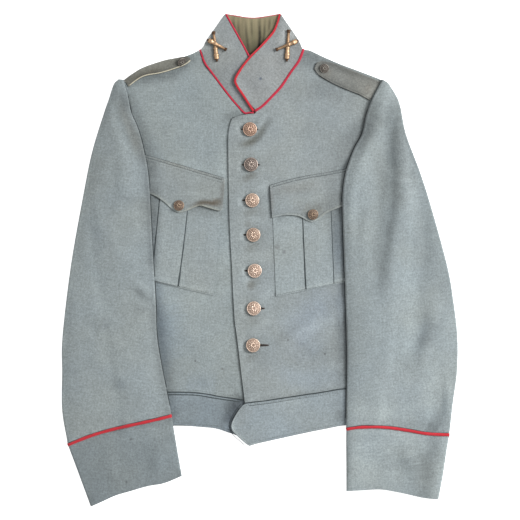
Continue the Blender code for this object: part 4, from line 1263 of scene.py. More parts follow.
# %% [markdown]
# ## The collar
# The stand collar lies folded flat. Its left half laps over the right one at the throat. A collar is
# made of two layers of wool, so it is thicker than the body. Its heights come from the map without the
# fronts, because it is sewn to them edge to edge along the neck, with the piping in between.

# %% Collar
RIGHT_COLLAR_EDGE = ((-14.5, 314.5), (-28, 338.5), (-42, 364), (-51.5, 381.5))
RIGHT_COLLAR_LAP = ((12.5, 278), (-1.5, 294.5), (-14.5, 314.5))
RIGHT_COLLAR_END = ((-12, 231), (3, 252.5), (12.5, 278))
LEFT_COLLAR_EDGE = (
    (-10.5, 233.5), (-25, 256), (-34.5, 270.5), (-36.5, 280), (-28, 296), (-13, 314.5),
    (4.5, 332.5), (21.5, 352), (28, 366), (32.5, 381.5),
)
LEFT_COLLAR_CORNER = 3  # the row of LEFT_COLLAR_EDGE at the lapping corner
COLLAR_CLOTH = 2.6
# Painted shade: the right half darker, and painted shadow along the edge of the left half lapping over it.
RIGHT_COLLAR_TINTS = tinting((0.92, 0.88, 0.87), (
    (((-42, 272), (-33, 290), (-15, 312)), 12, (0.85, 0.84, 0.86)),
    (((-40, 270), (-28, 252), (-14, 234)), 9, (0.76, 0.73, 0.77)),
))


def collar_lift(seed):
    def lift(places, u, v):
        return 1.1 * bulge(u) * bulge(v) + 0.5 * waves(places, 30.0, seed) * bulge(v)

    return lift


neck_line = beside(smooth(RIGHT_NECK), SLOT)
upper_line = beside(smooth([*RIGHT_COLLAR_LAP, *RIGHT_COLLAR_EDGE[1:]]), SLOT)[::-1]
end_line = np.vstack([neck_line[-1], smooth(RIGHT_COLLAR_END)[1:-1], upper_line[-1]])
fold_line = np.vstack([neck_line[0], smooth(RIGHT_COLLAR_FOLD)[4:-6], upper_line[0]])
right_collar = cloth(
    "collar_right",
    patch(edge((fold_line, 1)), edge((end_line, 1)), edge((neck_line, 1)), edge((upper_line, 1))),
    (110, 55), ground, collar_lift(11.0), RIGHT_COLLAR_TINTS, thickness=COLLAR_CLOTH, step=1.8, reach=14.0,
    grain=-48.0,
)
heap.lay(right_collar)
neck_line = beside(smooth(LEFT_NECK), SLOT)
outline = beside(smooth(LEFT_COLLAR_EDGE), -SLOT)
corner = LEFT_COLLAR_CORNER * CURVE_STEPS
front_line = np.vstack([neck_line[0], outline[CURVE_STEPS // 3 : corner + 1]])
fold_line = np.vstack([neck_line[-1], smooth(LEFT_COLLAR_FOLD)[4:-6], outline[-1]])
left_collar = cloth(
    "collar_left",
    patch(edge((front_line, 1)), edge((fold_line, 1)), edge((neck_line, 1)), edge((outline[corner:], 1))),
    (110, 55), heap, collar_lift(14.0), tinting((0.99, 0.93, 0.92)), thickness=COLLAR_CLOTH, step=1.8,
    reach=20.0, grain=46.0,
)
heap.lay(left_front, left_band, left_collar)
grooves(
    "waist_grooves", heap,
    (part_of(smooth(RIGHT_WAIST) - (0, 0.3), 0.1, 0.77), 0.8),
    (part_of(smooth(RIGHT_WAIST) - (0, 4.4), 0.1, 0.75), 0.7),
    (part_of(smooth(LEFT_WAIST) - (0, 0.3), 0.0, 0.9), 0.9),
    (part_of(smooth(LEFT_WAIST) - (0, 5.0), 0.03, 0.75), 0.5, 0.2),
    (part_of(beside(smooth(LEFT_BAND_TAB), 3.4), 0.08, 0.95), 0.32),
)

# %% [markdown]
# ## Piping of the collar
# Red felt runs along the free edge of each collar half and in the seam of the neck. The left edge shows
# the most felt, the right one hides part of its own, and the neck seams and the right edge take the darker
# crimson copy of the felt as painted shade. Where both collar halves end at the throat, a short cord of
# painted shade darkens the small gap there.

# %% Collar piping
cords = [
    cord(
        "right_neck_cord", [*RIGHT_NECK[:-1], (-16.5, 228.5), (-8, 228.5)], 1.6, heap, SHADED_RED_FELT,
        ["right_neck_piping"], proud=0.2, seed=2.0,
    ),
    cord(
        "left_neck_cord", [(-7, 230.5), *LEFT_NECK[1:]], 2.25, heap, SHADED_RED_FELT, ["left_neck_piping"],
        proud=0.5, seed=3.0, swell=(0.95, 0.95),
    ),
    cord(
        "collar_right_cord", RIGHT_COLLAR_EDGE, 1.5, heap, SHADED_RED_FELT, ["collar_right_piping"],
        proud=0.3, seed=4.0,
    ),
    cord(
        "collar_left_cord", [(-8.5, 230.5), *LEFT_COLLAR_EDGE[1:]], 1.8, heap, nodes=["collar_left_piping"],
        proud=0.55, seed=5.0, swell=(1.15, 0.9),
    ),
]
heap.lay(*cords)
grooves("throat_groove", ground, (((-18, 228), (-16, 232), (-13, 236)), 1.6))
print("collar and piping laid, highest point:", round(heap.heights.max(), 2))

# %% [markdown]
# ## Chest pockets
# Each patch pocket has a box pleat: the middle strip lies on top, and its two sides are folded under. A
# second, narrower sheet on the first gives the folds a real shadow. Both sheets are joined, because they
# are one piece of cloth. The pocket's hem lies in a soft ridge along the bottom.

# %% Tables of the pockets
POCKETS = {
    "right": {
        "bottom": ((-217, -21.7), (-159.7, -34.6), (-92, -50.5), (-70.7, -55)),
        "top": ((-202.5, 125), (-56.5, 101)),
        "pleat": (0.35, 0.645),
        "open": (0.0, 4.0),
    },
    "left": {
        "bottom": ((26, -57), (72.4, -47.1), (116.9, -38.1), (159.5, -29.5)),
        "top": ((20, 100), (153.5, 128)),
        "pleat": (0.347, 0.67),
        "open": (1.6, 0.0),
    },
}
FLAPS = {
    "right": {
        "top": ((-203, 169.5), (-168.5, 160.5), (-124, 147.5), (-74, 132.5), (-52, 126)),
        "bottom": (
            (-203, 114), (-166.5, 101.5), (-150.5, 92.5), (-134.5, 79), (-125, 73.5), (-113.5, 75.5),
            (-95.5, 83), (-85, 83), (-62, 76.5), (-56.5, 78.5),
        ),
    },
    "left": {
        "top": ((16.5, 115), (45, 123.5), (75, 130), (110.5, 136), (153.5, 144.5)),
        "bottom": (
            (20, 65), (30.5, 67.5), (46.5, 69.5), (62.5, 67.5), (74, 61.5), (83.5, 58.5), (96.5, 66),
            (107, 74), (128.5, 83), (153.5, 90.5),
        ),
    },
}
POCKET_CLOTH = 0.8

# %% [markdown]
# Both pockets are made by one function, because they differ only in their outlines and their tints. The
# left one goes on under the sleeve, as far as the photographed side of it does.

# %% Pockets


def pocket_lift(places, u, v):
    """The hem is a soft ridge a few millimetres above the cut edge, which itself lies low."""
    hem = np.exp(-(((v * 155 - 4.5) / 2.6) ** 2))
    crown = 0.5 * bulge(u) * bulge(v) + 0.35 * waves(places, 32.0, 21.0)
    return 0.9 * hem + crown * np.clip(v * 155 / 4, 0, 1)


def strip_of(cut, low, high, opened):
    """The part of a cut between two shares of its width, drawn in at its lower corners."""

    def at(u, v):
        left = low + opened[0] / 150 * (1 - v) ** 2
        right = high - opened[1] / 150 * (1 - v) ** 2
        return cut(left + (right - left) * u, 0.012 + v * 0.988)

    return at


def sheet_mesh(name, cut, size, under, lift, thickness, step, reach, tint, rounding=0.35):
    """A panel that is going to be joined to another: laid, thick and marked, and not dressed yet."""
    u, v = np.meshgrid(stops(size[0], step), stops(size[1], step))
    places = cut(u, v)
    heights = under.felt(places, reach) + GAP / 2 + np.maximum(lift(places, u, v), 0.0)
    piece = wall(grid(name, places, heights), thickness, rounding=rounding)
    mark_cloth(piece, 0.0, tint)
    return piece, cut_of(places)


def pocket(side, tint):
    rows = POCKETS[side]
    cut = patch(
        line(rows["bottom"][0], rows["top"][0]), line(rows["bottom"][-1], rows["top"][-1]),
        curve(rows["bottom"]), line(*rows["top"]),
    )
    name = side + "_pocket_cloth"
    base, base_cut = sheet_mesh(name, cut, (145, 165), heap, pocket_lift, POCKET_CLOTH, 2.0, 3.0, tint)
    heap.lay(base)
    strip = strip_of(cut, *rows["pleat"], rows["open"])
    ends = np.linspace(0, 1, 12)
    folds = [strip(np.full(12, share), ends) for share in (0.0, 1.0)]
    swells = [1.15 + 0.25 * opened for opened in rows["open"]]
    outward = ((-0.5, 0.0), (0.5, 0.0))
    pleat_lines = [(fold[::-1] + aside, 0.85, swell) for fold, aside, swell in zip(folds, outward, swells)]
    grooves(side + "_pocket_grooves", heap, *pleat_lines)
    low, high = rows["pleat"]
    pleat, _ = sheet_mesh(
        name + "_pleat", strip, (145 * (high - low), 160), heap, pleat_lift, POCKET_CLOTH, 1.8, 2.0, tint,
    )
    piece = joined(name, [base, pleat])
    dress(piece, WOOL, [side + "_pocket"])
    declare(piece, base_cut)
    heap.lay(piece)
    return piece


def pleat_lift(places, u, v):
    return 0.7 * bulge(u) * (0.4 + 0.6 * v) + 0.3 * waves(places, 25.0, 31.0) * v


# Painted shade beside the sleeve and along the right pocket's inner edge; a painted highlight on each hem.
pockets = [
    pocket("right", tinting((1.05, 1.05, 1.05), (
        (((-160, 96), (-166, 20), (-170, -30)), 12, (0.78, 0.79, 0.82)),
        (((-57, 72), (-63, 20), (-69, -50)), 2.6, (0.84, 0.85, 0.87)),
        (((-160, -32), (-92, -47.5), (-72, -52)), 3.6, (1.12, 1.11, 1.09)),
    ))),
    pocket("left", tinting((1.10, 1.10, 1.10), (
        (((124, 90), (128, 30), (132, -30)), 17, (0.66, 0.69, 0.74)),
        (((114, 80), (120, -30)), 10, (0.88, 0.89, 0.92)),
        (((28, -53.5), (72, -43.5), (117, -34.5), (158, -26)), 3.6, (1.12, 1.11, 1.09)),
    ))),
]
print("pockets:", SHEETS[-2:])

# %% [markdown]
# ## Pocket flaps
# The flap has a scalloped lower edge that comes to a point at its button. The wearer's right flap has
# curled up along its lower edge between the button and the front, and the hollow of the curl is dark
# brown. A lift near the lower edge makes the curl, and a brown stroke of tint darkens its hollow.

# %% Flaps
FLAP_CURLS = {
    "right": ((((-106, 78), (-84, 84), (-60, 80)), 9, 3.6), (((-104, 92), (-60, 90)), 10, -0.4)),
    "left": ((((30, 70), (60, 70)), 7, 0.7), (((100, 74), (140, 90)), 7, 0.9)),
}
# A painted highlight along the rolled lower edge of a flap.
RIM_HIGHLIGHT = (1.36, 1.33, 1.26)
# Painted shade on tops, sides and soft bands, painted light on the curled rim and the left flap's middle.
FLAP_TINTS = {
    "right": tinting((0.97, 0.985, 0.985), (
        (beside(smooth(FLAPS["right"]["bottom"]), 1.2)[::6], 3.2, RIM_HIGHLIGHT),
        (((-104, 84), (-84, 89), (-58, 84)), 7, (0.40, 0.31, 0.24)),
        (((-74, 90), (-56, 91)), 8, (0.62, 0.52, 0.44)),
        (((-112, 76), (-95, 82), (-84, 82), (-62, 75.5), (-57, 77)), 3, (1.7, 1.6, 1.45)),
        (((-56, 125), (-56, 85)), 7, (0.78, 0.74, 0.72)),
        (((-160, 160), (-60, 130)), 9, (0.90, 0.86, 0.82)),
    )),
    "left": tinting((0.98, 0.995, 1.01), (
        (((20, 108), (60, 112), (90, 118)), 14, (0.93, 0.90, 0.87)),
        (((24, 84), (60, 92), (110, 100)), 12, (1.05, 1.05, 1.04)),
        (((18, 110), (18, 70)), 9, (0.84, 0.80, 0.78)),
        (beside(smooth(FLAPS["left"]["bottom"]), 1.2)[::6], 3.2, RIM_HIGHLIGHT),
        (((66, 84), (84, 76), (100, 84)), 16, (0.93, 0.89, 0.84)),
    )),
}


def flap(side):
    rows = FLAPS[side]
    cut = patch(
        line(rows["bottom"][0], rows["top"][0]), line(rows["bottom"][-1], rows["top"][-1]),
        curve(rows["bottom"]), curve(rows["top"]),
    )

    def lift(places, u, v):
        return 0.7 * bulge(v) + relief(places, FLAP_CURLS[side]) + 0.35 * waves(places, 30.0, 41.0)

    lines = [(part_of(smooth(rows["top"]) + (0, 0.3), 0, 1), 0.55)]
    if side == "left":
        lines.append(((rows["top"][0], rows["bottom"][0]), 0.4))
    grooves(side + "_flap_grooves", heap, *lines)
    piece = cloth(
        side + "_pocket_flap", cut, (145, 55), heap, lift, FLAP_TINTS[side], thickness=1.6, step=1.7,
        reach=9.0, material=TRIM_WOOL, rounding=0.7,
    )
    heap.lay(piece)
    # A cord of painted shade in the groove of the topstitching, below the flap's top edge.
    grooves(side + "_flap_topstitch_shade", heap, (part_of(beside(smooth(rows["top"]), -3.3), 0.02, 0.97), 0.33))
    return piece


flaps = [flap(side) for side in FLAPS]

# %% [markdown]
# ## Shoulder straps
# A strap is sewn into the armhole seam and buttoned near the collar. The wearer's right one has turned
# with the shoulder, so that only its front half shows, and its lower edge is rubbed pale like a cord.

# %% Straps
STRAPS = {
    "right": {
        "top": ((-208.5, 278.5), (-183, 295), (-152, 306.5), (-133.5, 311), (-116, 314.5), (-107.5, 313.5)),
        "bottom": (
            (-202.5, 269.5), (-180.5, 284.5), (-154.5, 290), (-131.5, 296.5), (-113.5, 304), (-106.5, 309.5),
        ),
    },
    "left": {
        "top": ((89, 305.5), (97.5, 307.5), (116, 304.5), (141, 295), (166, 285), (188.5, 276)),
        "bottom": ((85.5, 296), (94.5, 286), (116, 273.5), (137, 264), (156, 256.5), (172, 247.5)),
    },
}
STRAP_TINTS = {
    "right": tinting((0.64, 0.58, 0.50), ((((-200, 276), (-150, 296)), 8, (0.92, 0.86, 0.8)),)),
    "left": tinting((0.70, 0.655, 0.61), (
        (((90, 296), (115, 285)), 14, (0.96, 0.92, 0.88)), (((172, 275), (165, 255)), 8, (0.85, 0.82, 0.8)),
    )),
}


def strap(side):
    rows = STRAPS[side]
    cut = patch(
        line(rows["bottom"][0], rows["top"][0]), line(rows["bottom"][-1], rows["top"][-1]),
        curve(rows["bottom"]), curve(rows["top"]),
    )

    def lift(places, u, v):
        return 0.9 * bulge(v) * bulge(u) + 0.3 * waves(places, 18.0, 51.0)

    grooves(side + "_strap_groove", heap, (part_of(smooth(rows["bottom"]) - (0, 0.5), 0, 1), 0.6))
    piece = cloth(
        side + "_shoulder_strap", cut, (105, 26), heap, lift, STRAP_TINTS[side], thickness=2.4, step=1.5,
        reach=3.0, material=TRIM_WOOL,
        grain=22.0 if side == "right" else -23.0,
    )
    heap.lay(piece)
    return piece


straps = [strap(side) for side in STRAPS]
pale_edge = cord(
    "right_strap_edge", STRAPS["right"]["bottom"], 0.9, heap, PALE_EDGE,
    proud=0.3, slot="trim_wool", seed=6.0,
)
heap.lay(pale_edge)

# %% [markdown]
# ## Sleeves
# A sleeve is a tube, and a sleeve that lies flat is a tube pressed almost shut. The under half rests on
# the table and on the side of the body. The top half starts beside it near the table, turns up round the
# edge, crosses over with some air below it, and comes down on the other side. So its grid gets extra
# columns that follow an ellipse round each edge, and Solidify works inwards from this outer skin.
# The long troughs and ridges give the sleeves their weight. They are strokes again, only deeper.

# %% Tables of the sleeves
RIGHT_SLEEVE_INNER = (
    (-210, 279), (-202.8, 253.5), (-197.8, 228.5), (-187, 203), (-177.5, 167.5), (-170.5, 127),
    (-166, 43.5), (-160, -62), (-158, -116), (-150.5, -164.5), (-135.2, -241),
)
RIGHT_SLEEVE_OUTER = (
    (-218, 280), (-225.5, 271.5), (-233.5, 248), (-240.5, 228), (-259, 167.5), (-273.5, 96), (-292, -9.5),
    (-305, -119.5), (-305.5, -173.5), (-305.5, -232.5), (-296.5, -287),
)
RIGHT_CUFF_SEAM = (
    (-296.5, -287), (-271.3, -276.5), (-248.5, -268.6), (-214.4, -259.5), (-153, -245.5), (-135.2, -241),
)
RIGHT_CUFF_OUTER = ((-296.5, -287), (-285, -317.5), (-261, -382.5))
RIGHT_CUFF_INNER = ((-135.2, -241), (-127, -292.5), (-119.5, -335))
RIGHT_CUFF_HEM = (
    (-261, -382.5), (-246, -376), (-222, -365), (-200, -358.5), (-172, -350.5), (-147, -346), (-119.5, -335),
)
LEFT_SLEEVE_INNER = (
    (191, 279.5), (173.8, 245.5), (165.8, 223), (159.5, 195.5), (147, 172), (135, 139.5), (130, 111.5),
    (129, 83.5), (132, -9.5), (135.5, -116), (136, -164.5), (135, -262),
)
LEFT_SLEEVE_OUTER = (
    (201.5, 273), (217.5, 245), (228, 195.5), (249.5, 138), (266.5, 85), (292, -8),
    (301.5, -62), (308, -118), (307.5, -172), (301, -221.5), (295.5, -271),
)
LEFT_CUFF_SEAM = ((135, -262), (162.8, -258.4), (196.9, -259.5), (231, -264.1), (265, -269.7), (295.5, -271))
LEFT_CUFF_INNER = ((135, -262), (135.5, -326.5), (135.5, -358.5))
LEFT_CUFF_OUTER = ((295.5, -271), (291.5, -294.5), (285.5, -333.5), (278.5, -371.5))
LEFT_CUFF_HEM = ((135.5, -358.5), (163, -357), (190, -356), (222, -361.5), (253.5, -368.5), (278.5, -371.5))
RIGHT_SLEEVE_FOLDS = (
    (((-222, 236), (-214, 205), (-194, 150)), 11, -1.8),
    (((-205, 240), (-193, 205), (-180, 160)), 9, 1.2),
    (((-196, -34), (-182, -44), (-164, -60)), 9, 2.0),
    (((-204, -46), (-184, -58), (-168, -74)), 8, -1.2),
    (((-254, -84), (-238, -90), (-222, -98)), 15, 1.8),
    (((-264, -104), (-246, -112)), 14, -1.2),
    (((-262, -152), (-246, -160)), 14, 1.3),
    (((-232, -176), (-214, -182), (-196, -190)), 12, 1.7),
    (((-240, -196), (-210, -206)), 12, -1.2),
    (((-238, 80), (-232, 40), (-226, 4)), 20, 1.8),
    (((-262, 70), (-254, 10)), 18, -1.2),
    (((-238, -110), (-218, -140), (-204, -175)), 22, 1.4),
)
LEFT_SLEEVE_FOLDS = (
    (((194, 255), (178, 200), (150, 130), (142, 60), (142, -20)), 12, 1.8),
    (((207, 240), (198, 190), (186, 130), (178, 60), (170, -10)), 16, -2.4),
    (((226, 232), (220, 170), (220, 93), (212, 42), (203, -11), (196, -51)), 17, 5.2),
    (((246, 185), (251, 119), (255, 42), (252, -11), (240, -70)), 15, -1.8),
    (((274, -66), (262, -115), (248, -166)), 15, 3.6),
    (((250, -70), (232, -130), (222, -170)), 15, -2.0),
    (((292, -180), (292, -246)), 10, 2.2),
    (((255, -205), (225, -215), (180, -212)), 22, 1.2),
    (((168, 60), (172, -60), (168, -150)), 20, 0.8),
)
CUFF_FOLDS = {
    "right": ((((-152, -292), (-164, -335)), 14, 1.3), (((-232, -314), (-222, -346)), 14, 1.3)),
    "left": ((((226, -285), (238, -320), (246, -358)), 16, 2.4), (((206, -288), (216, -350)), 14, -1.2)),
}
SLEEVE_CLOTH = 2.2
SLEEVE_AIR = 7.5
CUFF_AIR = 3.2
WRAP = 4.5  # how far in from its edge a sleeve has turned from upright to flat
WRAP_TURNS = np.radians((-70, -48, -26, -4, 18, 40, 58, 74))

# %% [markdown]
# The top half needs more than a flat grid. Its columns near both edges follow a quarter of a turn, so
# that the cloth goes round the edge and down, and the rest of its grid crosses over the air inside.

# %% Halves of a sleeve


def wrapped(node, cut, length, under, outside, air, folds, tint, grain):
    """The top half of a sleeve or cuff, which turns down round both of its edges."""
    v = stops(length, 3.0)
    ends = cut(np.array([[0.0, 1.0]]).repeat(len(v), 0), v[:, None])
    width = np.linalg.norm(ends[:, 1] - ends[:, 0], axis=-1)
    turn_in = np.minimum(WRAP, width / 5)[:, None]
    around = turn_in * (1 - np.cos(WRAP_TURNS))
    middle = np.linspace(0, 1, round(width.mean() / 2.8))
    inner = turn_in + (width[:, None] - 2 * turn_in) * middle
    u = np.hstack([around, inner, width[:, None] - around[:, ::-1]]) / width[:, None]
    places = cut(u, v[:, None] + 0 * u)
    puff = air * bulge(inner / width[:, None]) * (0.25 + 0.75 * bulge(v[:, None]))
    turns = len(WRAP_TURNS)
    flat = places[:, turns:-turns]
    lift = puff + relief(flat, folds) + 0.8 * waves(flat, 60.0, 61.0) + 0.22 * waves(flat, 22.0, 63.0)
    top = under.felt(flat, 6.0) + GAP + SLEEVE_CLOTH + np.maximum(lift, 0.0)
    low = outside.felt(places, 4.5) + GAP
    heights = np.hstack([low[:, :turns], top, low[:, -turns:]])
    for columns, edge_top in ((slice(0, turns), top[:, :1]), (slice(-turns, None), top[:, -1:])):
        rise = np.sin(WRAP_TURNS if columns.start == 0 else WRAP_TURNS[::-1])
        heights[:, columns] += (edge_top - heights[:, columns]) * (1 + rise) / 2
    piece = wall(grid(node + "_cloth", places, heights), SLEEVE_CLOTH, outer=True)
    mark_cloth(piece, grain, tint)
    dress(piece, WOOL, [node])
    declare(piece, cut_of(places))
    return piece


def trimmed(chain, start):
    """A sleeve's side from its lower end up, begun at a point on the seam instead."""
    return np.vstack([start, chain[chain[:, 1] > start[1] + 4]])


def sleeve_cuts(low_x, high_x, seam, cuff_low_x, cuff_high_x, hem):
    """The cuts of a sleeve and of its cuff, on both sides of the piping between them."""
    above, below = beside(smooth(seam), SLOT), beside(smooth(seam), -SLOT)
    sides = [trimmed(smooth(rows)[::-1], end) for rows, end in ((low_x, above[0]), (high_x, above[-1]))]
    shoulder = np.array([sides[0][-1], sides[1][-1]])
    sleeve_cut = patch(edge((sides[0], 1)), edge((sides[1], 1)), edge((above, 1)), edge((shoulder, 1)))
    cuff_sides = [
        np.vstack([smooth(rows)[::-1][: -CURVE_STEPS // 4], end])
        for rows, end in ((cuff_low_x, below[0]), (cuff_high_x, below[-1]))
    ]
    cuff_cut = patch(edge((cuff_sides[0], 1)), edge((cuff_sides[1], 1)), curve(hem), edge((below, 1)))
    return sleeve_cut, cuff_cut


# %% [markdown]
# Both sleeves go through the same steps: the under half, its cuff and its piping, then the top half, its
# cuff and its piping. Sleeve and cuff are worked out from one map, so that they meet at one height. The
# tints are measured: the wearer's right cuff is darker, and the left sleeve has pale ridges.

# %% Sleeves
SLEEVES = {
    "right": (
        sleeve_cuts(
            RIGHT_SLEEVE_OUTER, RIGHT_SLEEVE_INNER, RIGHT_CUFF_SEAM,
            RIGHT_CUFF_OUTER, RIGHT_CUFF_INNER, RIGHT_CUFF_HEM,
        ),
        RIGHT_SLEEVE_FOLDS, RIGHT_CUFF_SEAM, 9.0,
        # Painted shade along the inner edge, by the armhole and beside the folds.
        tinting((1.03, 1.035, 1.04), (
            (
                ((-212, 262), (-199, 215), (-184, 168), (-172, 100), (-168, 0), (-161, -110), (-140, -236)),
                6, (0.90, 0.90, 0.91),
            ),
            (((-216, 250), (-203, 212), (-178, 155)), 13, (0.84, 0.80, 0.76)),
            (((-246, -98), (-230, -104)), 16, (0.93, 0.93, 0.95)),
            (((-222, -190), (-206, -196)), 14, (0.93, 0.94, 0.96)),
            (((-250, 60), (-240, 10)), 24, (0.96, 0.97, 0.99)),
        )),
        # The right cuff is darkened with painted shade.
        tinting((0.80, 0.82, 0.84), ((((-165, -300), (-170, -335)), 20, (0.9, 0.9, 0.9)),)),
    ),
    "left": (
        sleeve_cuts(
            LEFT_SLEEVE_INNER, LEFT_SLEEVE_OUTER, LEFT_CUFF_SEAM,
            LEFT_CUFF_INNER, LEFT_CUFF_OUTER, LEFT_CUFF_HEM,
        ),
        LEFT_SLEEVE_FOLDS, LEFT_CUFF_SEAM, -7.0,
        # Painted shade on the inner edge and on flanks away from the lamp; painted light on ridges and low
        # down.
        tinting((1.03, 1.04, 1.05), (
            (
                ((190, 270), (170, 240), (160, 200), (134, 140), (128, 60), (131, -60), (136, -240)),
                12, (0.84, 0.84, 0.85),
            ),
            (((206, 238), (206, 170), (203, 93), (196, 42), (190, -20)), 16, (0.76, 0.77, 0.78)),
            (((230, 180), (233, 119), (236, 42), (235, -20)), 10, (1.10, 1.10, 1.10)),
            (((240, 210), (256, 119), (272, 30), (280, -50)), 22, (0.82, 0.83, 0.84)),
            (((196, 256), (186, 200), (166, 135)), 10, (1.04, 1.04, 1.04)),
            (((262, -85), (246, -140)), 12, (0.93, 0.94, 0.96)),
            (((170, -170), (220, -200), (270, -180)), 50, (1.10, 1.10, 1.11)),
            (((288, -206), (287, -246)), 9, (0.84, 0.86, 0.88)),
        )),
        # The left cuff is lightened with painted light, with painted shade on one fold.
        tinting((1.18, 1.19, 1.20), ((((225, -300), (236, -350)), 24, (0.80, 0.81, 0.82)),)),
    ),
}


WELT_RADIUS = 2.4  # of the strip of wool in each armhole seam


def sleeve(side):
    """Both halves of one sleeve with their cuffs and pipings, and the welt in its armhole seam."""
    (sleeve_cut, cuff_cut), folds, seam, grain, tint, cuff_tint = SLEEVES[side]
    outside = heap.copy()
    inner_edge = RIGHT_SLEEVE_INNER if side == "right" else LEFT_SLEEVE_INNER
    off = 0.5 if side == "right" else -0.6
    grooves(side + "_sleeve_groove", outside, (part_of(beside(smooth(inner_edge), off), 0.0, 0.97), 0.7))
    armhole = part_of(smooth(RIGHT_ARMHOLE if side == "right" else LEFT_ARMHOLE), 0.0, 0.5)
    welt = cord_mesh(
        side + "_armhole_welt", armhole, WELT_RADIUS, outside, proud=-0.1, flatness=0.7, swell=(1.0, 0.7),
    )
    # Painted shade: the welt's wool is darkened to the shade of the seam that it fills.
    mark_cloth(welt, grain, tinting((0.72, 0.74, 0.76), shades=()))
    dress(welt, WOOL)
    plain = tinting((1.03, 1.04, 1.05), shades=())
    under = [
        cloth(
            f"{side}_under_sleeve", sleeve_cut, (120, 540), outside, None, plain, step=6.0, reach=9.0,
            grain=grain, inset=5.5,
        ),
        cloth(
            f"{side}_under_cuff", cuff_cut, (150, 100), outside, None, plain, step=5.0, reach=9.0,
            grain=grain, inset=5.5,
        ),
    ]
    heap.lay(*under)
    under_cord = cord(
        f"{side}_under_cuff_cord", seam, 1.5, heap, nodes=[f"{side}_under_cuff_piping"], proud=-0.4,
    )
    heap.lay(under_cord)
    inside = heap.copy()
    top = [
        wrapped(
            f"{side}_top_sleeve", sleeve_cut, 540, inside, outside, SLEEVE_AIR, folds, tint, grain,
        ),
        wrapped(
            f"{side}_top_cuff", cuff_cut, 95, inside, outside, CUFF_AIR, CUFF_FOLDS[side], cuff_tint, grain,
        ),
    ]
    heap.lay(*top)
    grooves(f"{side}_cuff_groove", heap, (part_of(beside(smooth(seam), 2.3), 0.015, 0.985), 0.8))
    top_cord = cord(
        f"{side}_top_cuff_cord", seam, 2.6, heap, nodes=[f"{side}_top_cuff_piping"], proud=0.6, seed=7.0,
    )
    return [*under, under_cord, *top, top_cord]


sleeves = [sleeve(side) for side in SLEEVES]
print("sleeves laid, highest point:", round(heap.heights.max(), 2))

# %% [markdown]
# ## Stitches with Geometry Nodes
# Rows of stitches hold the flaps, the bands and the tab. A stitch is a small grain of thread, and
# hundreds of them lie along a path, which is what Geometry Nodes are good at: the tree resamples the
# paths, puts one short capsule on each point, turned along the path, and makes them real. Its sizes are
# named inputs, so one tree serves every row.

# %% Tree of the stitches


def socket_names(tree):
    """The identifier of each named input of a tree, which is what a modifier asks for."""
    sockets = [item for item in tree.interface.items_tree if item.item_type == "SOCKET"]
    return {socket.name: socket.identifier for socket in sockets if socket.in_out == "INPUT"}


def new_tree(name, sizes):
    """A tree with a geometry in and out and these named sizes."""
    tree = bpy.data.node_groups.new(name, "GeometryNodeTree")
    tree.interface.new_socket("Geometry", in_out="OUTPUT", socket_type="NodeSocketGeometry")
    tree.interface.new_socket("Geometry", in_out="INPUT", socket_type="NodeSocketGeometry")
    for size, kind in sizes.items():
        tree.interface.new_socket(size, in_out="INPUT", socket_type="NodeSocket" + kind)
    return tree, tree.nodes.new("NodeGroupInput").outputs, tree.nodes.new("NodeGroupOutput").inputs


def grow(tree, kind, links=(), **settings):
    """Adds a node to a tree and links or sets its inputs."""
    node = tree.nodes.new(kind)
    for setting, value in settings.items():
        setattr(node, setting, value)
    for socket, value in dict(links).items():
        if isinstance(value, bpy.types.NodeSocket):
            tree.links.new(value, node.inputs[socket])
        else:
            node.inputs[socket].default_value = value
    return node


stitch_sizes = {"Pitch": "Float", "Length": "Float", "Width": "Float", "Thread": "Material"}
STITCH_TREE, given, result = new_tree("Rows of stitches", stitch_sizes)
spacing = {"Curve": given["Geometry"], "Length": given["Pitch"]}
points = grow(STITCH_TREE, "GeometryNodeCurveToPoints", spacing, mode="LENGTH")
grain_of_thread = grow(
    STITCH_TREE, "GeometryNodeMeshUVSphere", {"Segments": 6, "Rings": 4, "Radius": given["Width"]},
)
half = grow(STITCH_TREE, "ShaderNodeMath", {0: given["Length"], 1: given["Width"]}, operation="DIVIDE")
stretch = grow(STITCH_TREE, "ShaderNodeCombineXYZ", {"X": 1.0, "Y": 1.0, "Z": half.outputs[0]})
placed = grow(STITCH_TREE, "GeometryNodeInstanceOnPoints", {
    "Points": points.outputs["Points"], "Instance": grain_of_thread.outputs["Mesh"],
    "Rotation": points.outputs["Rotation"], "Scale": stretch.outputs["Vector"],
})
real = grow(STITCH_TREE, "GeometryNodeRealizeInstances", {"Geometry": placed.outputs["Instances"]})
painted = grow(STITCH_TREE, "GeometryNodeSetMaterial", {
    "Geometry": real.outputs["Geometry"], "Material": given["Thread"],
})
STITCH_TREE.links.new(painted.outputs["Geometry"], result["Geometry"])
print("stitch tree inputs:", list(socket_names(STITCH_TREE)))

# %% [markdown]
# A row of stitches follows a cut edge at a small distance and lies on the highest cloth there. The
# sleeves lie over the ends of some rows, so each row is sewn only between two given shares of its chain,
# where its own cloth shows.

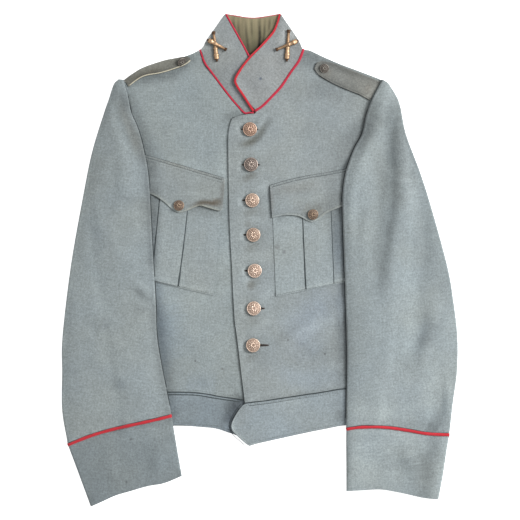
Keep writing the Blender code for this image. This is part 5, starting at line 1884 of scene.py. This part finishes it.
# %% Rows of stitches
STITCH_ROWS = {
    "flap_stitches": (
        (beside(smooth(FLAPS["right"]["top"]), -1.6), 0.30, 1.0),
        (beside(smooth(FLAPS["right"]["top"]), -7.4), 0.22, 1.0),
        (beside(smooth(FLAPS["left"]["top"]), -1.6), 0.0, 0.82),
        (beside(smooth(FLAPS["left"]["bottom"]), 3.4), 0.02, 0.84),
    ),
    "band_stitches": (
        (smooth(RIGHT_WAIST) + (0, 3.4), 0.20, 0.70),
        (smooth(RIGHT_WAIST) - (0, 3.6), 0.20, 0.70),
        (smooth(LEFT_WAIST) - (0, 3.2), 0.03, 0.75),
        (beside(smooth(LEFT_BAND_TAB), -3.6), 0.04, 1.0),
        (beside(smooth(LEFT_HEM), 3.6), 0.0, 0.72),
        (beside(smooth(RIGHT_HEM), 3.6), 0.36, 0.86),
    ),
    "strap_stitches": (
        (beside(smooth(STRAPS["left"]["bottom"]), 2.6), 0.02, 1.0),
        (beside(smooth(STRAPS["left"]["top"]), -2.6), 0.02, 1.0),
        (beside(smooth(STRAPS["right"]["bottom"]), 2.6), 0.0, 1.0),
    ),
    "pocket_stitches": (
        (beside(smooth(POCKETS["right"]["bottom"]), 2.2), 0.36, 1.0),
        (beside(smooth(POCKETS["left"]["bottom"]), 2.2), 0.0, 0.78),
    ),
}


def stitch_row(name, rows, pitch=2.7, length=0.95, width=0.28):
    """All the rows of one kind, as one mesh of real stitches."""
    path = bpy.data.curves.new(name, "CURVE")
    path.dimensions = "3D"
    path.twist_mode = "Z_UP"
    for chain, start, end in rows:
        count = max(3, round(reached(chain)[-1] * (end - start) / 2.0))
        places = along(chain, np.linspace(start, end, count))
        heights = heap.felt(places, 1.5) - 0.12
        spline = path.splines.new("POLY")
        spline.points.add(count - 1)
        for point, (x, y), z in zip(spline.points, places, heights):
            point.co = (x * MM, y * MM, z * MM, 1.0)
    piece = link(name, path)
    sewing = piece.modifiers.new("Sewing", "NODES")
    sewing.node_group = STITCH_TREE
    values = {"Pitch": pitch * MM, "Length": length * MM, "Width": width * MM, "Thread": SEAM_THREAD}
    for size, identifier in socket_names(STITCH_TREE).items():
        if size in values:
            sewing[identifier] = values[size]
    return dress(applied(piece), SEAM_THREAD)


stitches = [stitch_row(name, rows) for name, rows in STITCH_ROWS.items()]
print("stitches, faces:", sum(len(piece.data.polygons) for piece in stitches))

# %% [markdown]
# ## Buttons
# A dress button is a domed shell of copper-coloured metal with a raised pattern in its middle and a
# roped rim. The dome is a profile that is spun round. The pattern here is a plain rosette: eight petals,
# a ring of beads and the rope, all of them copies on circles, so a second tree of Geometry Nodes makes
# them on a circle of points. Everything is made once, one unit in radius, and copied for each button.

# %% Tree of the rosette
ring_sizes = {"Count": "Int", "Ring": "Float", "Height": "Float", "Size": "Vector", "Metal": "Material"}
RING_TREE, given, result = new_tree("Ring of beads", ring_sizes)
circle = grow(RING_TREE, "GeometryNodeMeshCircle", {"Vertices": given["Count"], "Radius": given["Ring"]})
raised = grow(RING_TREE, "ShaderNodeCombineXYZ", {"Z": given["Height"]})
lifted = grow(RING_TREE, "GeometryNodeSetPosition", {
    "Geometry": circle.outputs["Mesh"], "Offset": raised.outputs["Vector"],
})
where = grow(RING_TREE, "GeometryNodeInputPosition")
outwards = {"Vector": where.outputs["Position"]}
facing = grow(RING_TREE, "FunctionNodeAlignRotationToVector", outwards, axis="X", pivot_axis="Z")
bead = grow(RING_TREE, "GeometryNodeMeshUVSphere", {"Segments": 8, "Rings": 5, "Radius": 1.0})
placed = grow(RING_TREE, "GeometryNodeInstanceOnPoints", {
    "Points": lifted.outputs["Geometry"], "Instance": bead.outputs["Mesh"],
    "Rotation": facing.outputs["Rotation"], "Scale": given["Size"],
})
real = grow(RING_TREE, "GeometryNodeRealizeInstances", {"Geometry": placed.outputs["Instances"]})
painted = grow(RING_TREE, "GeometryNodeSetMaterial", {
    "Geometry": real.outputs["Geometry"], "Material": given["Metal"],
})
RING_TREE.links.new(painted.outputs["Geometry"], result["Geometry"])

# %% [markdown]
# The metal is a worn copper wash: pink and bright on the raised parts, brown in the hollows. A UV map
# says how raised and bare each point is, so the recipe works wherever the button lies. Some buttons are
# rubbed brighter than others, and some have gone brown or black. Brass for the badges is the same recipe.

# %% Metals


def metal(name, bright, dark, roughness, hollow):
    """Worn metal, dark where the map says that it is low. `hollow` is the span of heights between."""
    mix = Recipe(name, metallic=1.0, roughness=roughness)
    place = mix.add("TexCoord").outputs["Object"]
    wear = mix.add("SeparateXYZ", {"Vector": mix.add("UVMap", uv_map="Wear").outputs["UV"]}).outputs["Y"]
    patina = mix.speckle(place, 420.0, 4.0, 0.65)
    bare = mix.add("Math", {0: patina, 1: 0.5, 2: wear}, operation="MULTIPLY_ADD").outputs[0]
    bare = mix.graded(bare, *hollow)
    color = mix.blend(bare, (*dark, 1.0), (*bright, 1.0))
    rough = mix.graded(bare, 0.0, 1.0, roughness + 0.25, roughness)
    return mix.finish(color, mix.speckle(place, 900.0, 3.0, 0.6), 0.12, rough)


COPPER = metal("Copper wash", (0.66, 0.47, 0.37), (0.195, 0.125, 0.09), 0.46, (0.42, 0.9))
RUBBED_COPPER = metal("Rubbed copper wash", (0.75, 0.60, 0.49), (0.225, 0.155, 0.12), 0.46, (0.42, 0.9))
BRIGHT_COPPER = metal("Bright copper wash", (0.88, 0.72, 0.61), (0.27, 0.185, 0.14), 0.46, (0.42, 0.9))
BROWN_COPPER = metal("Browned copper wash", (0.39, 0.29, 0.21), (0.12, 0.09, 0.075), 0.42, (0.45, 0.95))
DARK_COPPER = metal("Darkened copper wash", (0.49, 0.41, 0.36), (0.125, 0.10, 0.09), 0.48, (0.45, 0.95))
BLACK_COPPER = metal("Blackened copper wash", (0.27, 0.25, 0.22), (0.07, 0.06, 0.055), 0.48, (0.45, 0.95))
BRASS = metal("Worn brass", (0.58, 0.39, 0.24), (0.11, 0.065, 0.04), 0.46, (0.45, 0.95))

# %% [markdown]
# A button is stamped from sheet metal over a domed shell, so its body is a profile turned round an axis.
# The rosette is made of rings of beads by the tree above. One pattern is made at a radius of one, and it
# is copied for every button.

# %% Buttons
BUTTON_PROFILE = (
    (0.0, 0.46), (0.2, 0.457), (0.4, 0.447), (0.58, 0.43), (0.74, 0.405), (0.81, 0.375), (0.845, 0.37),
    (0.88, 0.39), (0.94, 0.39), (0.99, 0.34), (1.0, 0.29), (0.95, 0.22), (0.3, 0.18), (0.28, 0.0), (0.0, 0.0),
)
# Rings of the rosette: count, ring radius, height, and the size of one bead along, across and up.
ROSETTE = (
    (8, 0.29, 0.45, (0.19, 0.095, 0.09)),
    (1, 0.0, 0.46, (0.11, 0.11, 0.08)),
    (12, 0.55, 0.43, (0.12, 0.05, 0.065)),
    (24, 0.725, 0.40, (0.055, 0.04, 0.05)),
    (40, 0.905, 0.385, (0.06, 0.035, 0.04)),
)
SPIN_STEPS = 40
# How bare the dome's metal is at each share of its radius.
WEAR_RADII = (0.5, 0.80, 0.85, 0.90, 0.96, 1.0)
WEAR_BARE = (0.28, 0.32, 0.1, 0.88, 0.8, 0.0)


def spun(name, profile, steps):
    """A closed turned mesh from a table of radius and height."""
    form = bmesh.new()
    spots = [form.verts.new((radius, 0.0, height)) for radius, height in profile]
    edges = [form.edges.new(pair) for pair in zip(spots, spots[1:])]
    bmesh.ops.spin(
        form, geom=[*spots, *edges], cent=(0, 0, 0), axis=(0, 0, 1), angle=math.tau, steps=steps,
        use_merge=True,
    )
    bmesh.ops.remove_doubles(form, verts=form.verts, dist=0.0001)
    bmesh.ops.recalc_face_normals(form, faces=form.faces)
    mesh = bpy.data.meshes.new(name)
    form.to_mesh(mesh)
    form.free()
    return mesh


def bead_ring(count, ring, height, size):
    """One ring of the rosette, as a plain mesh."""
    piece = link("ring", bpy.data.meshes.new("ring"))
    making = piece.modifiers.new("Ring", "NODES")
    making.node_group = RING_TREE
    values = {"Count": count, "Ring": ring, "Height": height, "Size": size, "Metal": COPPER}
    for label, identifier in socket_names(RING_TREE).items():
        if label in values:
            making[identifier] = values[label]
    return applied(piece)


def add_wear(piece, wear):
    """A map with 0 to 1 for how raised and bare each point is, as the second coordinate."""
    spots = spots_of(piece) * MM
    corners = np.empty(len(piece.data.loops), np.int32)
    piece.data.loops.foreach_get("vertex_index", corners)
    bare = wear(spots)
    layer = piece.data.uv_layers.new(name="Wear")
    pairs = np.column_stack([np.zeros(len(spots)), bare])[corners]
    layer.data.foreach_set("uv", pairs.astype(np.float32).ravel())


def dome_wear(spots):
    """How bare the dome is from its middle out: dark beside the rim, and rubbed bright on it."""
    from_middle = np.hypot(spots[:, 0], spots[:, 1])
    return np.interp(from_middle, WEAR_RADII, WEAR_BARE)


dome = link("dome", spun("dome", BUTTON_PROFILE, SPIN_STEPS))
dome.data.shade_smooth()
add_wear(dome, dome_wear)
rings = [bead_ring(*row) for row in ROSETTE]
for ring in rings:
    middle = spots_of(ring)[:, 2].mean() * MM
    add_wear(ring, lambda spots, middle=middle: 0.2 + 10.0 * (spots[:, 2] - middle))
pattern = joined("button_pattern", [dome, *rings])
print("one button, faces:", len(pattern.data.polygons))

# %% [markdown]
# Each button is a copy of the pattern, scaled to its size and turned and tipped a little, because a
# button on a shank never sits quite level. It stands on the highest cloth below it. Its place comes from
# the frame, so that it stays where the plain button is.

# %% Place the buttons
# Columns: name, diameter, turn in degrees, and the tip about X and Y in degrees.
BUTTONS = (
    ("front_button_1", 22, 12, 3, -2), ("front_button_2", 22, 40, -2, 3), ("front_button_3", 22, 5, 2, 2),
    ("front_button_4", 22, 63, -3, -2), ("front_button_5", 22, 28, 2, -3), ("front_button_6", 22, 80, -2, 2),
    ("front_button_7", 22, 51, 3, 3), ("right_pocket_button", 16.5, 20, -5, 2),
    ("left_pocket_button", 16.5, 70, 4, -3), ("right_strap_button", 14.5, 33, 38, 8),
    ("left_strap_button", 14.5, 15, 10, 4),
)
# The finish of each button that isn't plain copper.
METALS = {
    "front_button_2": DARK_COPPER, "right_strap_button": BLACK_COPPER, "left_strap_button": BLACK_COPPER,
    "right_pocket_button": BROWN_COPPER, "left_pocket_button": BROWN_COPPER, "front_button_3": RUBBED_COPPER,
    "front_button_4": RUBBED_COPPER, "front_button_5": BRIGHT_COPPER, "front_button_6": BRIGHT_COPPER,
    "front_button_7": RUBBED_COPPER,
}


def button(name, diameter, turn, tip_x, tip_y):
    low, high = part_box(name)
    x, y = (low.x + high.x) / 2 / MM, (low.y + high.y) / 2 / MM
    around = np.radians(np.arange(0, 360, 45))
    under = [(x + diameter / 3 * math.cos(a), y + diameter / 3 * math.sin(a)) for a in around]
    base = heap.felt(np.array([(x, y), *under]), 1.5).max()
    piece = link(name + "_metal", pattern.data.copy())
    radius = diameter / 2 * MM
    form = bmesh.new()
    form.from_mesh(piece.data)
    turned = Euler((math.radians(tip_x), math.radians(tip_y), math.radians(turn))).to_matrix()
    bmesh.ops.scale(form, vec=(radius, radius, radius), verts=form.verts)
    bmesh.ops.rotate(form, cent=(0, 0, 0), matrix=turned, verts=form.verts)
    bmesh.ops.translate(form, vec=(x * MM, y * MM, (base - 0.2) * MM), verts=form.verts)
    form.to_mesh(piece.data)
    form.free()
    return dress(piece, METALS.get(name, COPPER), [name])


buttons = [button(*row) for row in BUTTONS]
bpy.data.objects.remove(pattern)
print("buttons:", len(buttons))

# %% [markdown]
# ## Collar badges
# Two gun barrels cross on each half of the collar, the old sign of the artillery. A barrel is turned
# like a candlestick: a knob at the breech, a swelling body, rings and a flared muzzle. The profile is a
# short table. Each barrel is flattened a little, because a badge is stamped from sheet brass.

# %% Badges
BARREL_PROFILE = (
    (0.0, 0.0), (1.5, 0.005), (1.9, 0.03), (1.2, 0.055), (3.4, 0.075), (3.9, 0.10), (3.8, 0.20), (4.3, 0.215),
    (4.3, 0.235), (3.4, 0.25), (3.0, 0.40), (3.6, 0.42), (3.6, 0.44), (2.6, 0.46), (2.1, 0.80), (1.9, 0.88),
    (2.7, 0.93), (3.0, 0.97), (2.6, 1.0), (1.4, 1.0), (1.2, 0.97), (0.0, 0.97),
)
BADGES = {
    "right_badge": (((-65, 307), (-70.5, 354)), ((-80.5, 341.5), (-50, 325))),
    "left_badge": (((43, 307), (46, 356.5)), ((61.5, 340), (26, 325))),
}
BADGE_FLATNESS = 0.6


def barrel(name, breech, muzzle, raise_by):
    """One barrel from its breech to its muzzle, lying on the collar."""
    start, end = np.array(breech, float), np.array(muzzle, float)
    length = np.linalg.norm(end - start)
    piece = link(name, spun(name, [(radius, share * length) for radius, share in BARREL_PROFILE], 16))
    spots = spots_of(piece) * MM
    ahead = (end - start) / length
    side = np.array((-ahead[1], ahead[0]))
    share = spots[:, 2] / length
    plan = start + spots[:, 2:3] * ahead + spots[:, :1] * side
    base = heap.felt(np.linspace(start, end, 9), 2.0).max() + raise_by
    heights = base + (spots[:, 1] + 3.3) * BADGE_FLATNESS
    rubbed = 0.15 + 0.5 * (spots[:, 1] / 3.3) - 0.55 * (np.abs(share - 0.5) > 0.42)
    piece.data.vertices.foreach_set("co", (np.column_stack([plan, heights]) * MM).astype(np.float32).ravel())
    form = bmesh.new()
    form.from_mesh(piece.data)
    bmesh.ops.recalc_face_normals(form, faces=form.faces)
    form.to_mesh(piece.data)
    form.free()
    piece.data.shade_smooth()
    add_wear(piece, lambda spots: rubbed)
    return piece


def badge(node, rows):
    first = barrel(node + "_metal", *rows[0], 0.0)
    second = barrel(node + "_second", *rows[1], 1.2)
    return dress(joined(node + "_metal", [first, second]), BRASS, [node])


badges = [badge(node, rows) for node, rows in BADGES.items()]
print("badges, faces:", [len(piece.data.polygons) for piece in badges])

# %% [markdown]
# ## Buttonholes
# A buttonhole is a slit with thread sewn round it. The button hides its middle, and its dark end shows
# on the side to which the button is pulled. A lens-shaped patch of shade is the opening, and a thin
# closed cord round it is the sewn edge.

# %% Buttonholes
# Columns: y and x of the button's middle, and where the hole starts and ends to its left and right.
HOLES = (
    (202.5, -14, -13.0, 12.0), (147.5, -12.5, -13.2, 13.4), (92.5, -10.5, -15.0, 10.0),
    (39.0, -8.5, -15.0, 10.0), (-16.5, -6.5, -15.5, 10.0), (-75.0, -8.0, -9.0, 16.0),
    (-132.0, -9.5, -9.0, 24.0),
)
HOLE_HALF = 0.95  # half the width of a hole at its middle


def buttonhole_outline(x_left, x_right, y, half_width, count=28):
    around = np.arange(count) * math.tau / count
    middle, reach = (x_left + x_right) / 2, (x_right - x_left) / 2
    taper = np.abs(np.sin(around)) ** 0.8 * np.sign(np.sin(around))
    return np.column_stack([middle + reach * np.cos(around), y + half_width * taper])


def hole_shade():
    """The dark openings of all the buttonholes."""
    form = bmesh.new()
    for y, x, left, right in HOLES:
        rim = buttonhole_outline(x + left, x + right, y, HOLE_HALF)
        heights = heap.felt(rim, 1.5) + 0.15
        spots = [form.verts.new((px * MM, py * MM, z * MM)) for (px, py), z in zip(rim, heights)]
        form.faces.new(spots)
    made = bmesh.ops.extrude_face_region(form, geom=list(form.faces))
    raised = [part for part in made["geom"] if isinstance(part, bmesh.types.BMVert)]
    bmesh.ops.translate(form, vec=(0, 0, 0.25 * MM), verts=raised)
    bmesh.ops.recalc_face_normals(form, faces=form.faces)
    mesh = bpy.data.meshes.new("buttonhole_shade")
    form.to_mesh(mesh)
    form.free()
    return dress(link("buttonhole_shade", mesh), HOLE_SHADE)


def hole_threads():
    """The sewn edges of all the buttonholes, as one mesh of thin closed cords."""
    path = bpy.data.curves.new("buttonhole_thread", "CURVE")
    path.dimensions = "3D"
    path.bevel_depth = 0.5 * MM
    path.bevel_resolution = 1
    for y, x, left, right in HOLES:
        rim = buttonhole_outline(x + left - 0.6, x + right + 0.6, y, HOLE_HALF + 0.5)
        heights = heap.felt(rim, 1.5) + 0.1
        spline = path.splines.new("POLY")
        spline.points.add(len(rim) - 1)
        spline.use_cyclic_u = True
        for point, (px, py), z in zip(spline.points, rim, heights):
            point.co = (px * MM, py * MM, z * MM, 1.0)
    return dress(applied(link("buttonhole_thread", path)), HOLE_THREAD)


hole_shade()
hole_threads()
print("buttonholes:", len(HOLES))

# %% [markdown]
# ## Sizes and the end
# The script ends by printing the number of faces in all, and each sheet of cloth with the size of its
# cut.

# %% Sizes and finish
bpy.context.view_layer.update()
faces = sum(len(piece.data.polygons) for piece in bpy.data.objects if piece.type == "MESH")
print("faces in all:", faces)
for row in SHEETS:
    print("sheet:", *row)
